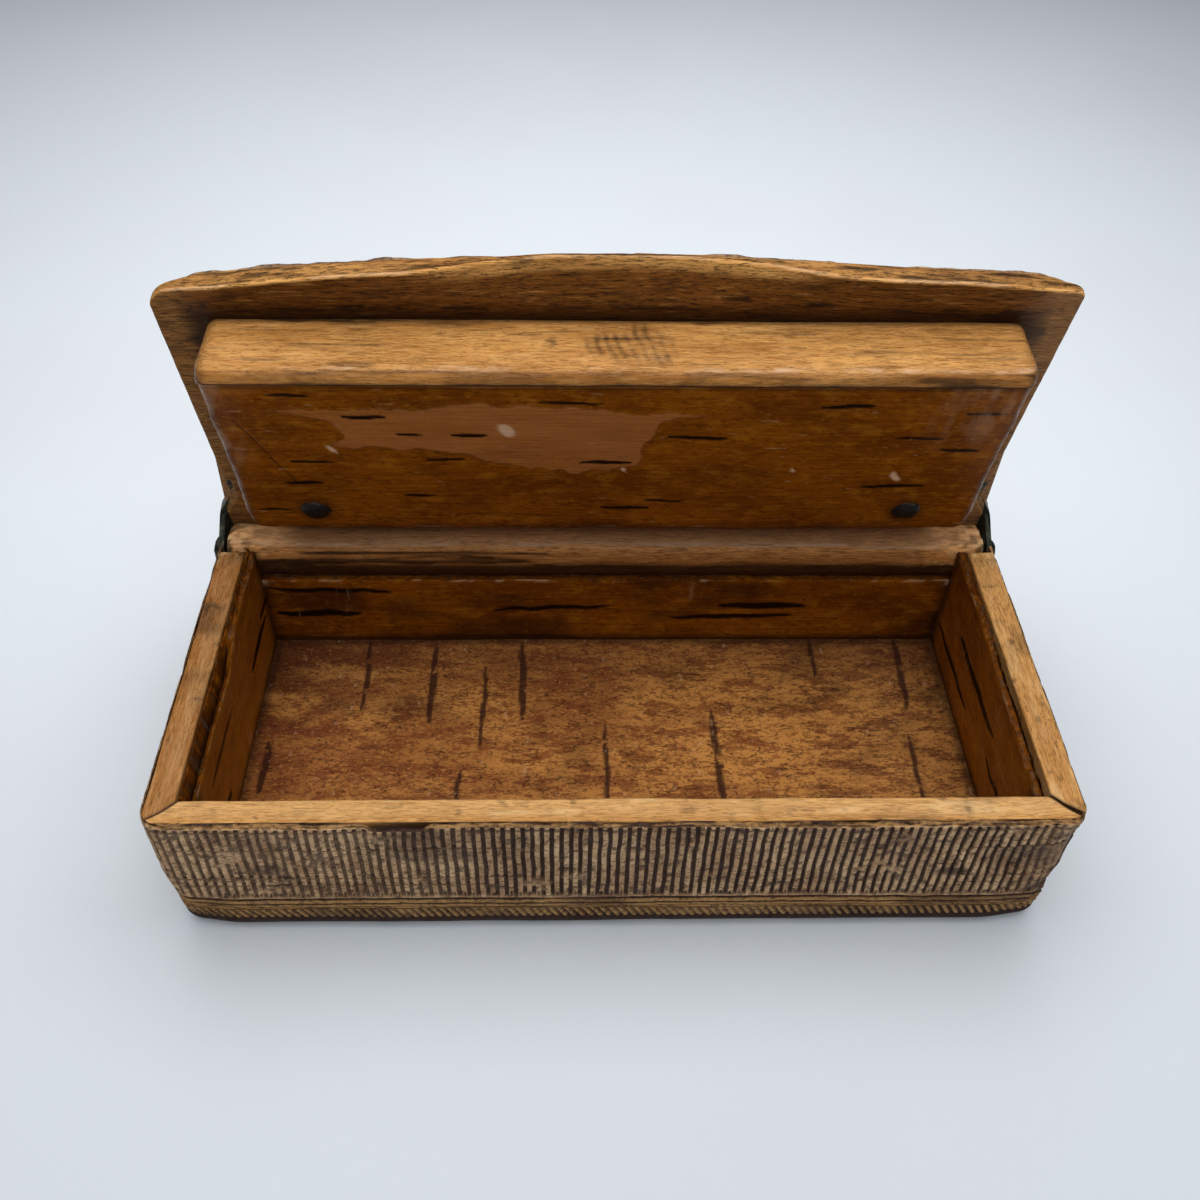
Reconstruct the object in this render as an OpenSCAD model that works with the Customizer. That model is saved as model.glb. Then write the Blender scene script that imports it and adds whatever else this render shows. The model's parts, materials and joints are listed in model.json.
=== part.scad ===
// Snuff box of birch: mitred boards clad in ribbed bark, lined with bark, under a plug lid on two strap hinges.
// Millimetres. The origin is the middle of the base, on the table; +X is right, +Y is back and +Z is up.
// The lid is drawn standing open, at lid_open from closed.

/* [Box] */
// Width over the bark, left to right
box_w = 100; // [80:1:130]
// Depth over the bark, front to back
box_d = 50; // [42:1:70]
// Height of the rim above the table
box_h = 20; // [18:0.5:32]
// Radius of the upright corners, over the bark
corner_r = 3; // [2:0.1:4]

/* [Boards] */
// Thickness of the front and end walls
wall_t = 2.6; // [1.8:0.1:4]
// Thickness of the back wall, which carries the hinge rail
back_t = 5.2; // [4.8:0.1:7]
// Thickness of the bottom board
bottom_t = 1.2; // [0.8:0.1:2.5]
// Opening of the sprung mitre at the right front corner
mitre_gap = 0.3; // [0:0.05:0.6]

/* [Bark cladding] */
// Thickness of the cladding over its ribs
bark_t = 0.9; // [0.7:0.05:1.4]
// Depth of the grooves between ribs
rib_depth = 0.4; // [0.2:0.05:0.5]
// Distance from rib to rib
rib_pitch = 1.05; // [0.9:0.05:2]
// Width of the groove between two ribs
groove_w = 0.4; // [0.2:0.05:0.6]
// Plain edge left above the ribs
rib_edge = 0.4; // [0.2:0.1:2]
// Height of the plain course below the ribs, which carries the two scored lines
course_h = 2.1; // [1.6:0.1:3]
// Width of a scored line
score_w = 0.35; // [0.2:0.05:0.5]
// Depth of a scored line
score_depth = 0.25; // [0.1:0.05:0.4]
// Open seam of the cladding, at the right front corner
seam_w = 0.3; // [0.1:0.05:0.6]

/* [Base] */
// Thickness of the bark sheet under the box
base_t = 0.6; // [0.4:0.05:1]
// Height of the bark band round the foot
band_h = 4.6; // [3.4:0.1:6]
// Radius of the foot's lower edge
foot_r = 2.2; // [1.4:0.1:2.4]
// Radius of the foot's upright corners, rounder than the cladding's
foot_corner_r = 4.4; // [3:0.1:4.6]

/* [Lining] */
// Thickness of the bark lining on the walls
lining_t = 1; // [0.6:0.1:1.6]
// Thickness of the bark lining on the floor
floor_t = 0.8; // [0.5:0.1:1.5]
// How far the end linings stop below the rim
lining_drop = 0.6; // [0.2:0.1:2]
// How far the front lining stops below the rim
front_drop = 1.6; // [0.2:0.1:3]

/* [Hinge] */
// Radius of the rounded hinge rail
rail_r = 3.4; // [3:0.1:4]
// Depth of the hinge axis below which the rail is cut flat to sit on the back wall
rail_seat = 2.4; // [2.3:0.1:2.8]
// Distance of the hinge axis from the back of the box
hinge_set = 3.8; // [3.5:0.1:5]
// How far in front of the hinge axis the end walls' rims end
rim_end = 2.7; // [2.5:0.1:3.4]
// Room round the rail where the end walls and linings are coped over it
cope_gap = 0.05; // [0.02:0.01:0.2]
// How far each end of the rail stops short of the end walls' outer faces
rail_short = 0.3; // [0.1:0.1:1]
// Radius of the hinge pins
pin_r = 0.7; // [0.5:0.05:0.9]
// Radial clearance of the pins in the straps
pin_clear = 0.05; // [0.02:0.01:0.1]
// How deep the pins are driven into the rail
pin_depth = 7; // [4:0.5:12]
// Radius of the pins' domed heads
pin_head_r = 1.7; // [1.2:0.1:2]
// Height of the pins' domed heads
pin_head_h = 0.8; // [0.5:0.1:1.2]

/* [Straps] */
// Thickness of the strap metal
strap_t = 0.8; // [0.5:0.1:1.2]
// Radius of the strap's eye round the pin
strap_eye_r = 2.1; // [1.8:0.1:2.2]
// Width of the strap's arm along the lid's end
strap_w = 1.9; // [1.6:0.1:2.1]
// How far the strap's arm reaches along the lid from the axis
strap_reach = 10.8; // [9.6:0.1:16]
// Where the strap starts to bend in towards the lid, from the axis
crank_start = 3.2; // [2.6:0.1:4]
// Where the strap meets the lid's end, from the axis
crank_end = 7.4; // [6:0.1:7.5]
// Room between the strap and its neighbours
strap_gap = 0.1; // [0.05:0.05:0.3]
// Radius of the heads of the nails through the straps
strap_nail_r = 0.8; // [0.6:0.05:0.9]

/* [Lid] */
// Angle at which the lid stands open, from closed
lid_open = 75; // [0:1:80]
// How far each end of the lid stops short of the cladding
lid_inset = 1.5; // [1.2:0.1:3]
// How far the lid's back corners flare out to follow the straps
lid_flare = 1.4; // [0.5:0.1:1.8]
// How far the lid's front edge stands out past the box, at its middle
lid_lip = 0.8; // [0:0.1:2]
// Radius of the bowed front edge
lid_bow_r = 330; // [250:10:800]
// Radius of the lid's front corners
lid_corner_r = 3; // [1.5:0.1:6]
// Thickness of the lid board
lid_t = 2.5; // [2.3:0.1:4]
// Room between the rim and the closed lid
lid_gap = 0.15; // [0.1:0.05:0.4]
// Half width of the finger scoop under the front edge
scoop_half = 24; // [12:1:35]
// Depth of the finger scoop at the front edge
scoop_depth = 2; // [0.5:0.1:2.1]
// How far the finger scoop runs back from the front edge
scoop_len = 5.5; // [3:0.5:6]
// Thickness of the bark on the lid's outer face, over its ribs
lid_bark_t = 0.8; // [0.6:0.1:1.2]
// Margin of bare wood round the lid's bark
lid_bark_inset = 0.8; // [0.4:0.1:3]

/* [Plug] */
// Room between each end of the plug and the lining
plug_end_gap = 2.1; // [1:0.1:5]
// Room between the plug's front and the lining
plug_front_gap = 1.8; // [1:0.1:4]
// Room between the plug's lower back edge and the rail
plug_rail_gap = 8.4; // [5:0.1:11]
// How far the plug's back slopes out towards the lid
plug_slope = 3; // [1:0.5:4]
// Thickness of the plug's wood
plug_t = 7.1; // [5:0.1:9]
// Radius of the plug's lower edges
plug_round = 1.3; // [0.5:0.1:2]
// Radius of the plug's front corners
plug_corner_r = 1.6; // [1:0.1:4]
// Thickness of the bark under the plug
plug_bark_t = 0.9; // [0.5:0.1:1.2]
// Wooden lip in front of the plug's bark
plug_lip = 1.4; // [0.8:0.1:3]
// Bare edge at the sides and back of the plug's bark
plug_bark_inset = 0.5; // [0.2:0.1:2]
// Distance of each plug nail from the plug's end
nail_end = 8.2; // [5:0.1:20]
// Distance of the plug nails from the plug's lower back edge
nail_back = 4.2; // [3.5:0.1:8]
// Radius of the plug nails' heads
nail_head_r = 1.65; // [1:0.05:2]
// Height of the plug nails' heads
nail_head_h = 0.7; // [0.4:0.1:1.2]

/* [Hidden] */
$fn = 64;
ROUND = 360;
OVER = 10;

// Wooden carcase inside the cladding
wood_w = box_w - 2 * bark_t;
wood_d = box_d - 2 * bark_t;
wood_r = corner_r - bark_t;
wood_back = wood_d / 2;
inner_x = wood_w / 2 - wall_t;
inner_front = -wood_d / 2 + wall_t;
inner_back = wood_back - back_t;
floor_z = base_t + bottom_t + floor_t;

// Hinge axis, along X
hinge_y = box_d / 2 - hinge_set;
hinge_z = box_h - rail_r;
seat_z = hinge_z - rail_seat;
notch_y = hinge_y - rim_end;
rail_half = wood_w / 2 - rail_short;

// Lid levels and sizes, from the axis with the lid closed
lid_in = rail_r + lid_gap;
lid_out = lid_in + lid_t;
lid_half = box_w / 2 - lid_inset;
lid_reach = box_d - hinge_set + lid_lip;
strap_x = box_w / 2 + strap_gap;
strap_z = lid_in + (lid_t - strap_w) / 2;
strap_end_x = lid_half - strap_t;
crank_slope = (crank_end - crank_start) / (strap_x - strap_end_x);
flare_start = crank_end - 2 * strap_gap;
flare_x = strap_end_x + lid_flare;
flare_end = flare_start - lid_flare * crank_slope;
plug_low = lid_in - plug_t;
plug_half = inner_x - lining_t - plug_end_gap;
plug_front = hinge_y - inner_front - lining_t - plug_front_gap;
plug_rear = rail_r + plug_rail_gap;
nail_x = plug_half - nail_end;
nail_y = plug_rear + nail_back;
nail_shank = 0.3 * nail_head_r;

wood = "#b8813f";
bark = "#8e7550";
inner_bark = "#7d4c18";
metal = "#34372b";
iron = "#1b1714";

// Points of an arc about c, from angle a to angle b
function arc(c, r, a, b, n) = [for (i = [0:n]) c + r * [cos(a + (b - a) * i / n), sin(a + (b - a) * i / n)]];

module rounded_rect(w, d, r) {
    square([w - 2 * r, d], center = true);
    square([w, d - 2 * r], center = true);
    for (sx = [-1, 1], sy = [-1, 1])
        translate([sx * (w / 2 - r), sy * (d / 2 - r)])
            circle(r);
}

// Extrudes a profile drawn in Y and Z along X, centred
module along_x(length) {
    translate([-length / 2, 0, 0])
        rotate([90, 0, 90])
            linear_extrude(length)
                children();
}

// Extrudes a profile drawn in X and Z along Y, centred
module along_y(length) {
    translate([0, length / 2, 0])
        rotate([90, 0, 0])
            linear_extrude(length)
                children();
}

// Puts the lid's parts, drawn closed about the axis, where the open lid is
module on_lid() {
    translate([0, hinge_y, hinge_z])
        rotate([-lid_open, 0, 0])
            children();
}

// Room over the back of the box for the rail, the straps and the swing of the lid
module hinge_notch() {
    translate([-box_w / 2 - OVER, notch_y, seat_z])
        cube([box_w + 2 * OVER, box_d, box_h]);
}

// Hollow that the end walls and linings are coped to, so that they fit round the rail
module rail_cope() {
    translate([-box_w, hinge_y, hinge_z])
        rotate([0, 90, 0])
            cylinder(r = rail_r + cope_gap, h = 2 * box_w);
}

// Outline of the foot across one side: upright above, rounded below
module foot_profile(width) {
    translate([-width / 2 + foot_r, 0])
        square([width - 2 * foot_r, band_h]);
    translate([-width / 2, foot_r])
        square([width, band_h - foot_r]);
    for (side = [-1, 1])
        translate([side * (width / 2 - foot_r), foot_r])
            circle(foot_r);
}

module foot() {
    intersection() {
        linear_extrude(band_h)
            rounded_rect(box_w, box_d, foot_corner_r);
        along_x(box_w + OVER)
            foot_profile(box_d);
        along_y(box_d + OVER)
            foot_profile(box_w);
    }
}

module base_sheet() {
    color(bark)
        intersection() {
            foot();
            translate([-box_w, -box_d, 0])
                cube([2 * box_w, 2 * box_d, base_t]);
        }
}

module base_band() {
    color(bark)
        difference() {
            foot();
            translate([-box_w, -box_d, -OVER])
                cube([2 * box_w, 2 * box_d, OVER + base_t]);
            linear_extrude(box_h)
                rounded_rect(wood_w, wood_d, wood_r);
        }
}

module bottom_board() {
    color(wood)
        translate([-inner_x, inner_front, base_t])
            cube([2 * inner_x, inner_back - inner_front, bottom_t]);
}

module floor_lining() {
    color(inner_bark)
        translate([-inner_x, inner_front, base_t + bottom_t])
            cube([2 * inner_x, inner_back - inner_front, floor_t]);
}

// The carcase's outer shape, from the base sheet to the rim
module carcase() {
    translate([0, 0, base_t])
        linear_extrude(box_h - base_t)
            rounded_rect(wood_w, wood_d, wood_r);
}

module front_wall() {
    color(wood)
        intersection() {
            carcase();
            linear_extrude(box_h)
                polygon([
                    [-wood_w / 2, -wood_d / 2],
                    [wood_w / 2, -wood_d / 2],
                    [inner_x, inner_front],
                    [-inner_x, inner_front]
                ]);
        }
}

// An end wall: mitred at the front, notched for the rail at the back. gap opens its mitre
module end_wall(side, gap) {
    color(wood)
        intersection() {
            carcase();
            difference() {
                linear_extrude(box_h)
                    polygon([
                        [side * wood_w / 2, -wood_d / 2 + gap],
                        [side * wood_w / 2, wood_back],
                        [side * inner_x, wood_back],
                        [side * inner_x, inner_front + gap]
                    ]);
                hinge_notch();
                rail_cope();
            }
        }
}

module left_wall() {
    end_wall(-1, 0);
}

module right_wall() {
    end_wall(1, mitre_gap);
}

module back_wall() {
    color(wood)
        translate([-inner_x, inner_back, base_t])
            cube([2 * inner_x, back_t, seat_z - base_t]);
}

module hinge_rail() {
    color("#6d5138")
        difference() {
            translate([-rail_half, hinge_y, hinge_z])
                rotate([0, 90, 0])
                    cylinder(r = rail_r, h = 2 * rail_half);
            translate([-box_w, -box_d, seat_z - box_h])
                cube([2 * box_w, 2 * box_d, box_h]);
            for (side = [-1, 1])
                translate([side * rail_half, hinge_y, hinge_z])
                    rotate([0, -side * 90, 0])
                        translate([0, 0, -OVER])
                            cylinder(r = pin_r, h = OVER + pin_depth);
        }
}

// Ribs along one side of the cladding, as points along the side and out from it
sheet_w = box_w - 2 * rib_depth;
sheet_d = box_d - 2 * rib_depth;
sheet_r = corner_r - rib_depth;
rib_half = (rib_pitch - groove_w) / 2;
rib_corners = [[-rib_half, 0], [-rib_half, rib_depth], [rib_half, rib_depth], [rib_half, 0]];
function rib_count(length) = floor(length / rib_pitch);
function rib_place(i, length) = (i - (rib_count(length) - 1) / 2) * rib_pitch;
function ribs(length) =
    [for (i = [0:rib_count(length) - 1]) for (q = rib_corners) [rib_place(i, length) + q[0], q[1]]];

front_ribs = ribs(box_w - 2 * corner_r);
end_ribs = ribs(box_d - 2 * corner_r);
corner_x = box_w / 2 - corner_r;
corner_y = box_d / 2 - corner_r;
ribbed_outline = concat(
    [for (q = front_ribs) [q[0], -sheet_d / 2 - q[1]]],
    arc([corner_x, -corner_y], sheet_r, -90, 0, 6),
    [for (q = end_ribs) [sheet_w / 2 + q[1], q[0]]],
    arc([corner_x, corner_y], sheet_r, 0, 90, 6),
    [for (q = front_ribs) [-q[0], sheet_d / 2 + q[1]]],
    arc([-corner_x, corner_y], sheet_r, 90, 180, 6),
    [for (q = end_ribs) [-sheet_w / 2 - q[1], -q[0]]],
    arc([-corner_x, -corner_y], sheet_r, 180, 270, 6)
);

course_z = band_h + course_h;
score_step = course_h / 3;

// One wrap of bark round the carcase: ribs between plain edges, two scored lines below them and an open seam
module outer_bark() {
    color(bark)
        difference() {
            union() {
                translate([0, 0, band_h])
                    linear_extrude(course_h)
                        rounded_rect(box_w, box_d, corner_r);
                translate([0, 0, course_z])
                    linear_extrude(box_h - rib_edge - course_z)
                        polygon(ribbed_outline);
                translate([0, 0, box_h - rib_edge])
                    linear_extrude(rib_edge)
                        rounded_rect(box_w, box_d, corner_r);
            }
            linear_extrude(box_h + OVER)
                rounded_rect(wood_w, wood_d, wood_r);
            for (i = [1, 2])
                translate([0, 0, band_h + i * score_step - score_w / 2])
                    scored_line();
            hinge_notch();
            translate([corner_x, -corner_y, 0])
                rotate([0, 0, -45])
                    translate([0, -seam_w / 2, 0])
                        cube([2 * corner_r, seam_w, box_h + OVER]);
        }
}

module scored_line() {
    linear_extrude(score_w)
        difference() {
            square([box_w + OVER, box_d + OVER], center = true);
            rounded_rect(box_w - 2 * score_depth, box_d - 2 * score_depth, corner_r - score_depth);
        }
}

// A wall's lining, standing on the floor lining
module lining(low_x, low_y, size_x, size_y, top) {
    color(inner_bark)
        difference() {
            translate([low_x, low_y, floor_z])
                cube([size_x, size_y, top - floor_z]);
            rail_cope();
        }
}

module front_lining() {
    lining(-inner_x, inner_front, 2 * inner_x, lining_t, box_h - front_drop);
}

module back_lining() {
    lining(-inner_x, inner_back - lining_t, 2 * inner_x, lining_t, seat_z);
}

end_lining_y = inner_front + lining_t;
end_lining_len = inner_back - lining_t - end_lining_y;

module left_lining() {
    lining(-inner_x, end_lining_y, lining_t, end_lining_len, box_h - lining_drop);
}

module right_lining() {
    lining(inner_x - lining_t, end_lining_y, lining_t, end_lining_len, box_h - lining_drop);
}

// A low dome of radius r and height h, standing on the XY plane
module dome(r, h) {
    ball_r = (r * r + h * h) / (2 * h);
    intersection() {
        translate([0, 0, h - ball_r])
            sphere(ball_r, $fn = 96);
        cylinder(r = 2 * r, h = 2 * h);
    }
}

// A domed pin through the strap's eye into the end of the rail
module hinge_pin(side) {
    head_x = strap_x + strap_t + strap_gap;
    color(metal)
        translate([side * head_x, hinge_y, hinge_z])
            rotate([0, side * 90, 0]) {
                dome(pin_head_r, pin_head_h);
                translate([0, 0, rail_half - pin_depth - head_x])
                    cylinder(r = pin_r, h = head_x - rail_half + pin_depth);
            }
}

module hinge_pin_left() {
    hinge_pin(-1);
}

module hinge_pin_right() {
    hinge_pin(1);
}

// The lid's plan, closed: bowed front, round front corners, and back corners that follow the straps
// inset draws the front smaller
bow_y = lid_bow_r - lid_reach;
function corner_at(r) = [lid_half - r, bow_y - sqrt(pow(lid_bow_r - r, 2) - pow(lid_half - r, 2))];
function lid_front(inset) =
    let (
        c = corner_at(lid_corner_r),
        turn = atan(c[0] / (bow_y - c[1])),
        r = lid_corner_r - inset,
        bow = lid_bow_r - inset
    )
    concat(
        arc([-c[0], c[1]], r, 180, 270 - turn, 6),
        arc([0, bow_y], bow, 270 - turn, 270 + turn, 24),
        arc(c, r, 270 + turn, 360, 6)
    );

module lid_plan() {
    polygon(concat(
        [
            [flare_x, -flare_end],
            [flare_x, hinge_set],
            [-flare_x, hinge_set],
            [-flare_x, -flare_end],
            [-strap_end_x, -flare_start],
            [-strap_end_x, -strap_reach],
            [-lid_half, -strap_reach]
        ],
        lid_front(0),
        [
            [lid_half, -strap_reach],
            [strap_end_x, -strap_reach],
            [strap_end_x, -flare_start]
        ]
    ));
}

// Finger scoop: a wide cylinder that rises into the lid's inner face towards the front edge
module finger_scoop() {
    scoop_r = (pow(scoop_half, 2) + pow(scoop_depth, 2)) / (2 * scoop_depth);
    translate([0, scoop_len - lid_reach, lid_in])
        rotate([-atan(scoop_depth / scoop_len), 0, 0])
            translate([0, 0, -scoop_r])
                rotate([90, 0, 0])
                    cylinder(r = scoop_r, h = scoop_len + OVER, $fn = ROUND);
}

module lid_board() {
    color(wood)
        on_lid()
            difference() {
                translate([0, 0, lid_in])
                    linear_extrude(lid_t)
                        lid_plan();
                finger_scoop();
            }
}

lid_bark_half = strap_end_x - lid_bark_inset;
lid_rib_half = floor(lid_bark_half / rib_pitch) * rib_pitch;

// The lid's outer bark: a thin sheet with ribs running front to back
module lid_bark() {
    color(bark)
        on_lid()
            translate([0, 0, lid_out])
                intersection() {
                    linear_extrude(lid_bark_t)
                        polygon(concat(
                            [[lid_bark_half, hinge_set - lid_bark_inset], [-lid_bark_half, hinge_set - lid_bark_inset]],
                            lid_front(lid_bark_inset)
                        ));
                    along_y(2 * lid_reach + OVER)
                        polygon(concat(
                            [[lid_half, 0], [-lid_half, 0], [-lid_half, lid_bark_t - rib_depth]],
                            [for (q = ribs(2 * lid_rib_half)) [q[0], lid_bark_t - rib_depth + q[1]]],
                            [[lid_half, lid_bark_t - rib_depth]]
                        ));
                }
}

// The plug across the lid: rounded front edge, rebate for its bark and a back that slopes to clear the rail
module lid_plug() {
    lip_y = plug_lip - plug_front;
    low = plug_low - plug_bark_t;
    top_rear = plug_slope - plug_rear;
    color(wood)
        on_lid()
            intersection() {
                along_x(2 * plug_half)
                    polygon(concat(
                        [[top_rear, lid_in], [-plug_front, lid_in]],
                        arc([plug_round - plug_front, low + plug_round], plug_round, 180, 270, 6),
                        [[lip_y, low], [lip_y, plug_low], [-plug_rear, plug_low]]
                    ));
                translate([0, -plug_front + box_d / 2, low - OVER])
                    linear_extrude(plug_t + plug_bark_t + OVER)
                        rounded_rect(2 * plug_half, box_d, plug_corner_r);
                along_y(2 * box_d)
                    plug_end_profile(low);
            }
}

// The plug's outline seen from the front, with rounded lower corners
module plug_end_profile(low) {
    polygon(concat(
        [[plug_half, lid_in], [-plug_half, lid_in]],
        arc([plug_round - plug_half, low + plug_round], plug_round, 180, 270, 6),
        arc([plug_half - plug_round, low + plug_round], plug_round, 270, 360, 6)
    ));
}

module plug_lining() {
    bark_len = plug_front - plug_lip - plug_rear - plug_bark_inset;
    bark_w = 2 * (plug_half - plug_round - plug_bark_inset);
    color(inner_bark)
        on_lid()
            translate([0, plug_lip - plug_front + bark_len / 2, plug_low - plug_bark_t])
                linear_extrude(plug_bark_t)
                    rounded_rect(bark_w, bark_len, plug_bark_inset + 1);
}

// A cranked strap: an eye outside the box, an upright, and an arm let into the lid's end
module hinge_strap(side) {
    color(metal)
        on_lid()
            mirror([side < 0 ? 1 : 0, 0, 0])
                difference() {
                    intersection() {
                        translate([0, 0, -box_h])
                            linear_extrude(2 * box_h)
                                strap_plan();
                        along_x(2 * box_w)
                            strap_side();
                    }
                    rotate([0, 90, 0])
                        cylinder(r = pin_r + pin_clear, h = box_w);
                }
}

module strap_plan() {
    polygon([
        [strap_x, strap_eye_r],
        [strap_x, -crank_start],
        [strap_end_x, -crank_end],
        [strap_end_x, -strap_reach],
        [strap_end_x + strap_t, -strap_reach],
        [strap_end_x + strap_t, -crank_end],
        [strap_x + strap_t, -crank_start],
        [strap_x + strap_t, strap_eye_r]
    ]);
}

module strap_side() {
    circle(strap_eye_r);
    translate([-strap_eye_r, 0])
        square([2 * strap_eye_r, strap_z + strap_w]);
    translate([-strap_reach, strap_z])
        square([strap_reach, strap_w]);
}

module hinge_strap_left() {
    hinge_strap(-1);
}

module hinge_strap_right() {
    hinge_strap(1);
}

// A nail through each strap into the lid's end
module strap_nails() {
    nail_at = (strap_reach + crank_end) / 2;
    shank_r = strap_nail_r / 2;
    shank = 4 * strap_nail_r;
    color(iron)
        on_lid()
            for (side = [-1, 1])
                translate([side * lid_half, -nail_at, strap_z + strap_w / 2])
                    rotate([0, side * 90, 0]) {
                        dome(strap_nail_r, strap_nail_r / 2);
                        translate([0, 0, -shank])
                            cylinder(r = shank_r, h = shank);
                    }
}

// Two nails that hold the plug to the lid board, with their heads on the plug's bark
module plug_nails() {
    head_z = plug_low - plug_bark_t;
    color(iron)
        on_lid()
            for (side = [-1, 1])
                translate([side * nail_x, -nail_y, head_z]) {
                    mirror([0, 0, 1])
                        dome(nail_head_r, nail_head_h);
                    cylinder(r = nail_shank, h = plug_bark_t + plug_t + lid_t / 2);
                }
}

base_sheet();
base_band();
bottom_board();
floor_lining();
front_wall();
back_wall();
left_wall();
right_wall();
hinge_rail();
outer_bark();
front_lining();
back_lining();
left_lining();
right_lining();
hinge_pin_left();
hinge_pin_right();
lid_board();
lid_bark();
lid_plug();
plug_lining();
hinge_strap_left();
hinge_strap_right();
strap_nails();
plug_nails();
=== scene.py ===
# Dresses a birch snuff box: worn boards, bark linings, ribbed cladding, plug lid and strap hinge.
# Shapes are worked out in millimetres and written in metres. The lid's pieces are drawn closed, measured from
# the hinge axis, and then turned to where the lid stands open.
import itertools
import json
import math

import bmesh
import bpy
import numpy as np
from mathutils import Matrix, Vector


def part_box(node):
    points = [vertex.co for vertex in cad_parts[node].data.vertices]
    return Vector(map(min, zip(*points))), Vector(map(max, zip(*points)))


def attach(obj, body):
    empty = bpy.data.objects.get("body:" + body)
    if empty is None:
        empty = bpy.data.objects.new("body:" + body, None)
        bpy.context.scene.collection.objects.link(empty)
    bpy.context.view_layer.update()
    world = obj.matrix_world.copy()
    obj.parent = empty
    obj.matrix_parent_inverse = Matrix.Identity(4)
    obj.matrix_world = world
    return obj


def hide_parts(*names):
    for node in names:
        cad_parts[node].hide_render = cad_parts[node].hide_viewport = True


bl_info = {
    "name": "Birch Snuff Box",
    "version": (1, 0, 0),
    "blender": (4, 5, 0),
    "location": "View3D > Sidebar > Snuff Box",
    "description": "Dresses a bark-clad snuff box with a plug lid on two strap hinges",
    "category": "Object",
}

MM = 1000.0
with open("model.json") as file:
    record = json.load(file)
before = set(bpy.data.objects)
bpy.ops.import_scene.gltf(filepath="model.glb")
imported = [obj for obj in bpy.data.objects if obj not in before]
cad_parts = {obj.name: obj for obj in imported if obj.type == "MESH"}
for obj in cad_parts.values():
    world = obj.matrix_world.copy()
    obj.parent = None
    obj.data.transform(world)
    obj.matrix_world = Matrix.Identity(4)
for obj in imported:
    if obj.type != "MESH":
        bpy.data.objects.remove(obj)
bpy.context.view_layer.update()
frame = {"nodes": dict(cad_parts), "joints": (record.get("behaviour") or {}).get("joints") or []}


# Places read from the frame

def corners(node):
    """Lowest and highest corner of a node at rest, in mm."""
    return [np.array(corner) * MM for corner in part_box(node)]


hinge = frame["joints"][0]
AXIS = np.array(hinge["pos_m"]) * MM
LID_OPEN = math.radians(-hinge["range_deg"][0])


def turned(points, angle):
    """Points turned about the X axis, so that a positive angle lifts the lid's front."""
    x, y, z = np.moveaxis(np.asarray(points, float), -1, 0)
    c, s = math.cos(angle), math.sin(angle)
    return np.stack([x, y * c + z * s, z * c - y * s], axis=-1)


def opened(points):
    """Points of the closed lid, measured from the axis, where the open lid has them."""
    return turned(points, LID_OPEN) + AXIS


def lid_corners(node):
    """Lowest and highest corner of a lid node as if closed, measured from the axis, in mm."""
    points = np.array([v.co for v in frame["nodes"][node].data.vertices]) * MM
    points = turned(points - AXIS, -LID_OPEN)
    return points.min(0), points.max(0)


BARK_LOW, BARK_HIGH = corners("outer_bark")
WOOD_LOW, WOOD_HIGH = corners("front_wall")
FLOOR_LOW, FLOOR_HIGH = corners("floor_lining")
RAIL_LOW, RAIL_HIGH = corners("hinge_rail")
BAND_LOW, BAND_HIGH = corners("base_band")
SEAT_Z = RAIL_LOW[2]
RAIL_R = RAIL_HIGH[2] - AXIS[2]
RIM_Z = WOOD_HIGH[2]
WOOD_HALF = np.array([corners("right_wall")[1][0], -WOOD_LOW[1]])
BARK_HALF = BARK_HIGH[:2]
BARK_T = BARK_HALF[0] - WOOD_HALF[0]
INNER_X = FLOOR_HIGH[0]
INNER_FRONT = FLOOR_LOW[1]
WALL_T = WOOD_HALF[0] - INNER_X
LID_LOW, LID_HIGH = lid_corners("lid_board")
LID_BARK_LOW, LID_BARK_HIGH = lid_corners("lid_bark")
PLUG_LOW, PLUG_HIGH = lid_corners("lid_plug")
SHEET_LOW, SHEET_HIGH = lid_corners("plug_lining")
STRAP_LOW, STRAP_HIGH = lid_corners("hinge_strap_right")
STRAP_T = 0.8
STRAP_W = 1.9
CRANK_START, CRANK_END = -3.2, -7.4
FOOT_ROUND = 2.2
RIM_END = 17.9
SHARP_ANGLE = math.radians(55)
LID_HALF = STRAP_LOW[0] + STRAP_T


def linear(code):
    """Linear colour of an sRGB hex value."""
    parts = [int(code[i:i + 2], 16) / 255 for i in (1, 3, 5)]
    return [c / 12.92 if c <= 0.04045 else ((c + 0.055) / 1.055) ** 2.4 for c in parts]


# Settings that a user would change

def length(name, description, mm):
    """A length setting, given in mm."""
    return bpy.props.FloatProperty(
        name=name, description=description, default=mm / MM, min=0.0, unit="LENGTH", precision=6
    )


def colour(name, description, code):
    """A colour setting, given as an sRGB hex value."""
    return bpy.props.FloatVectorProperty(
        name=name, description=description, default=linear(code), min=0.0, max=1.0, subtype="COLOR"
    )


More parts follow.
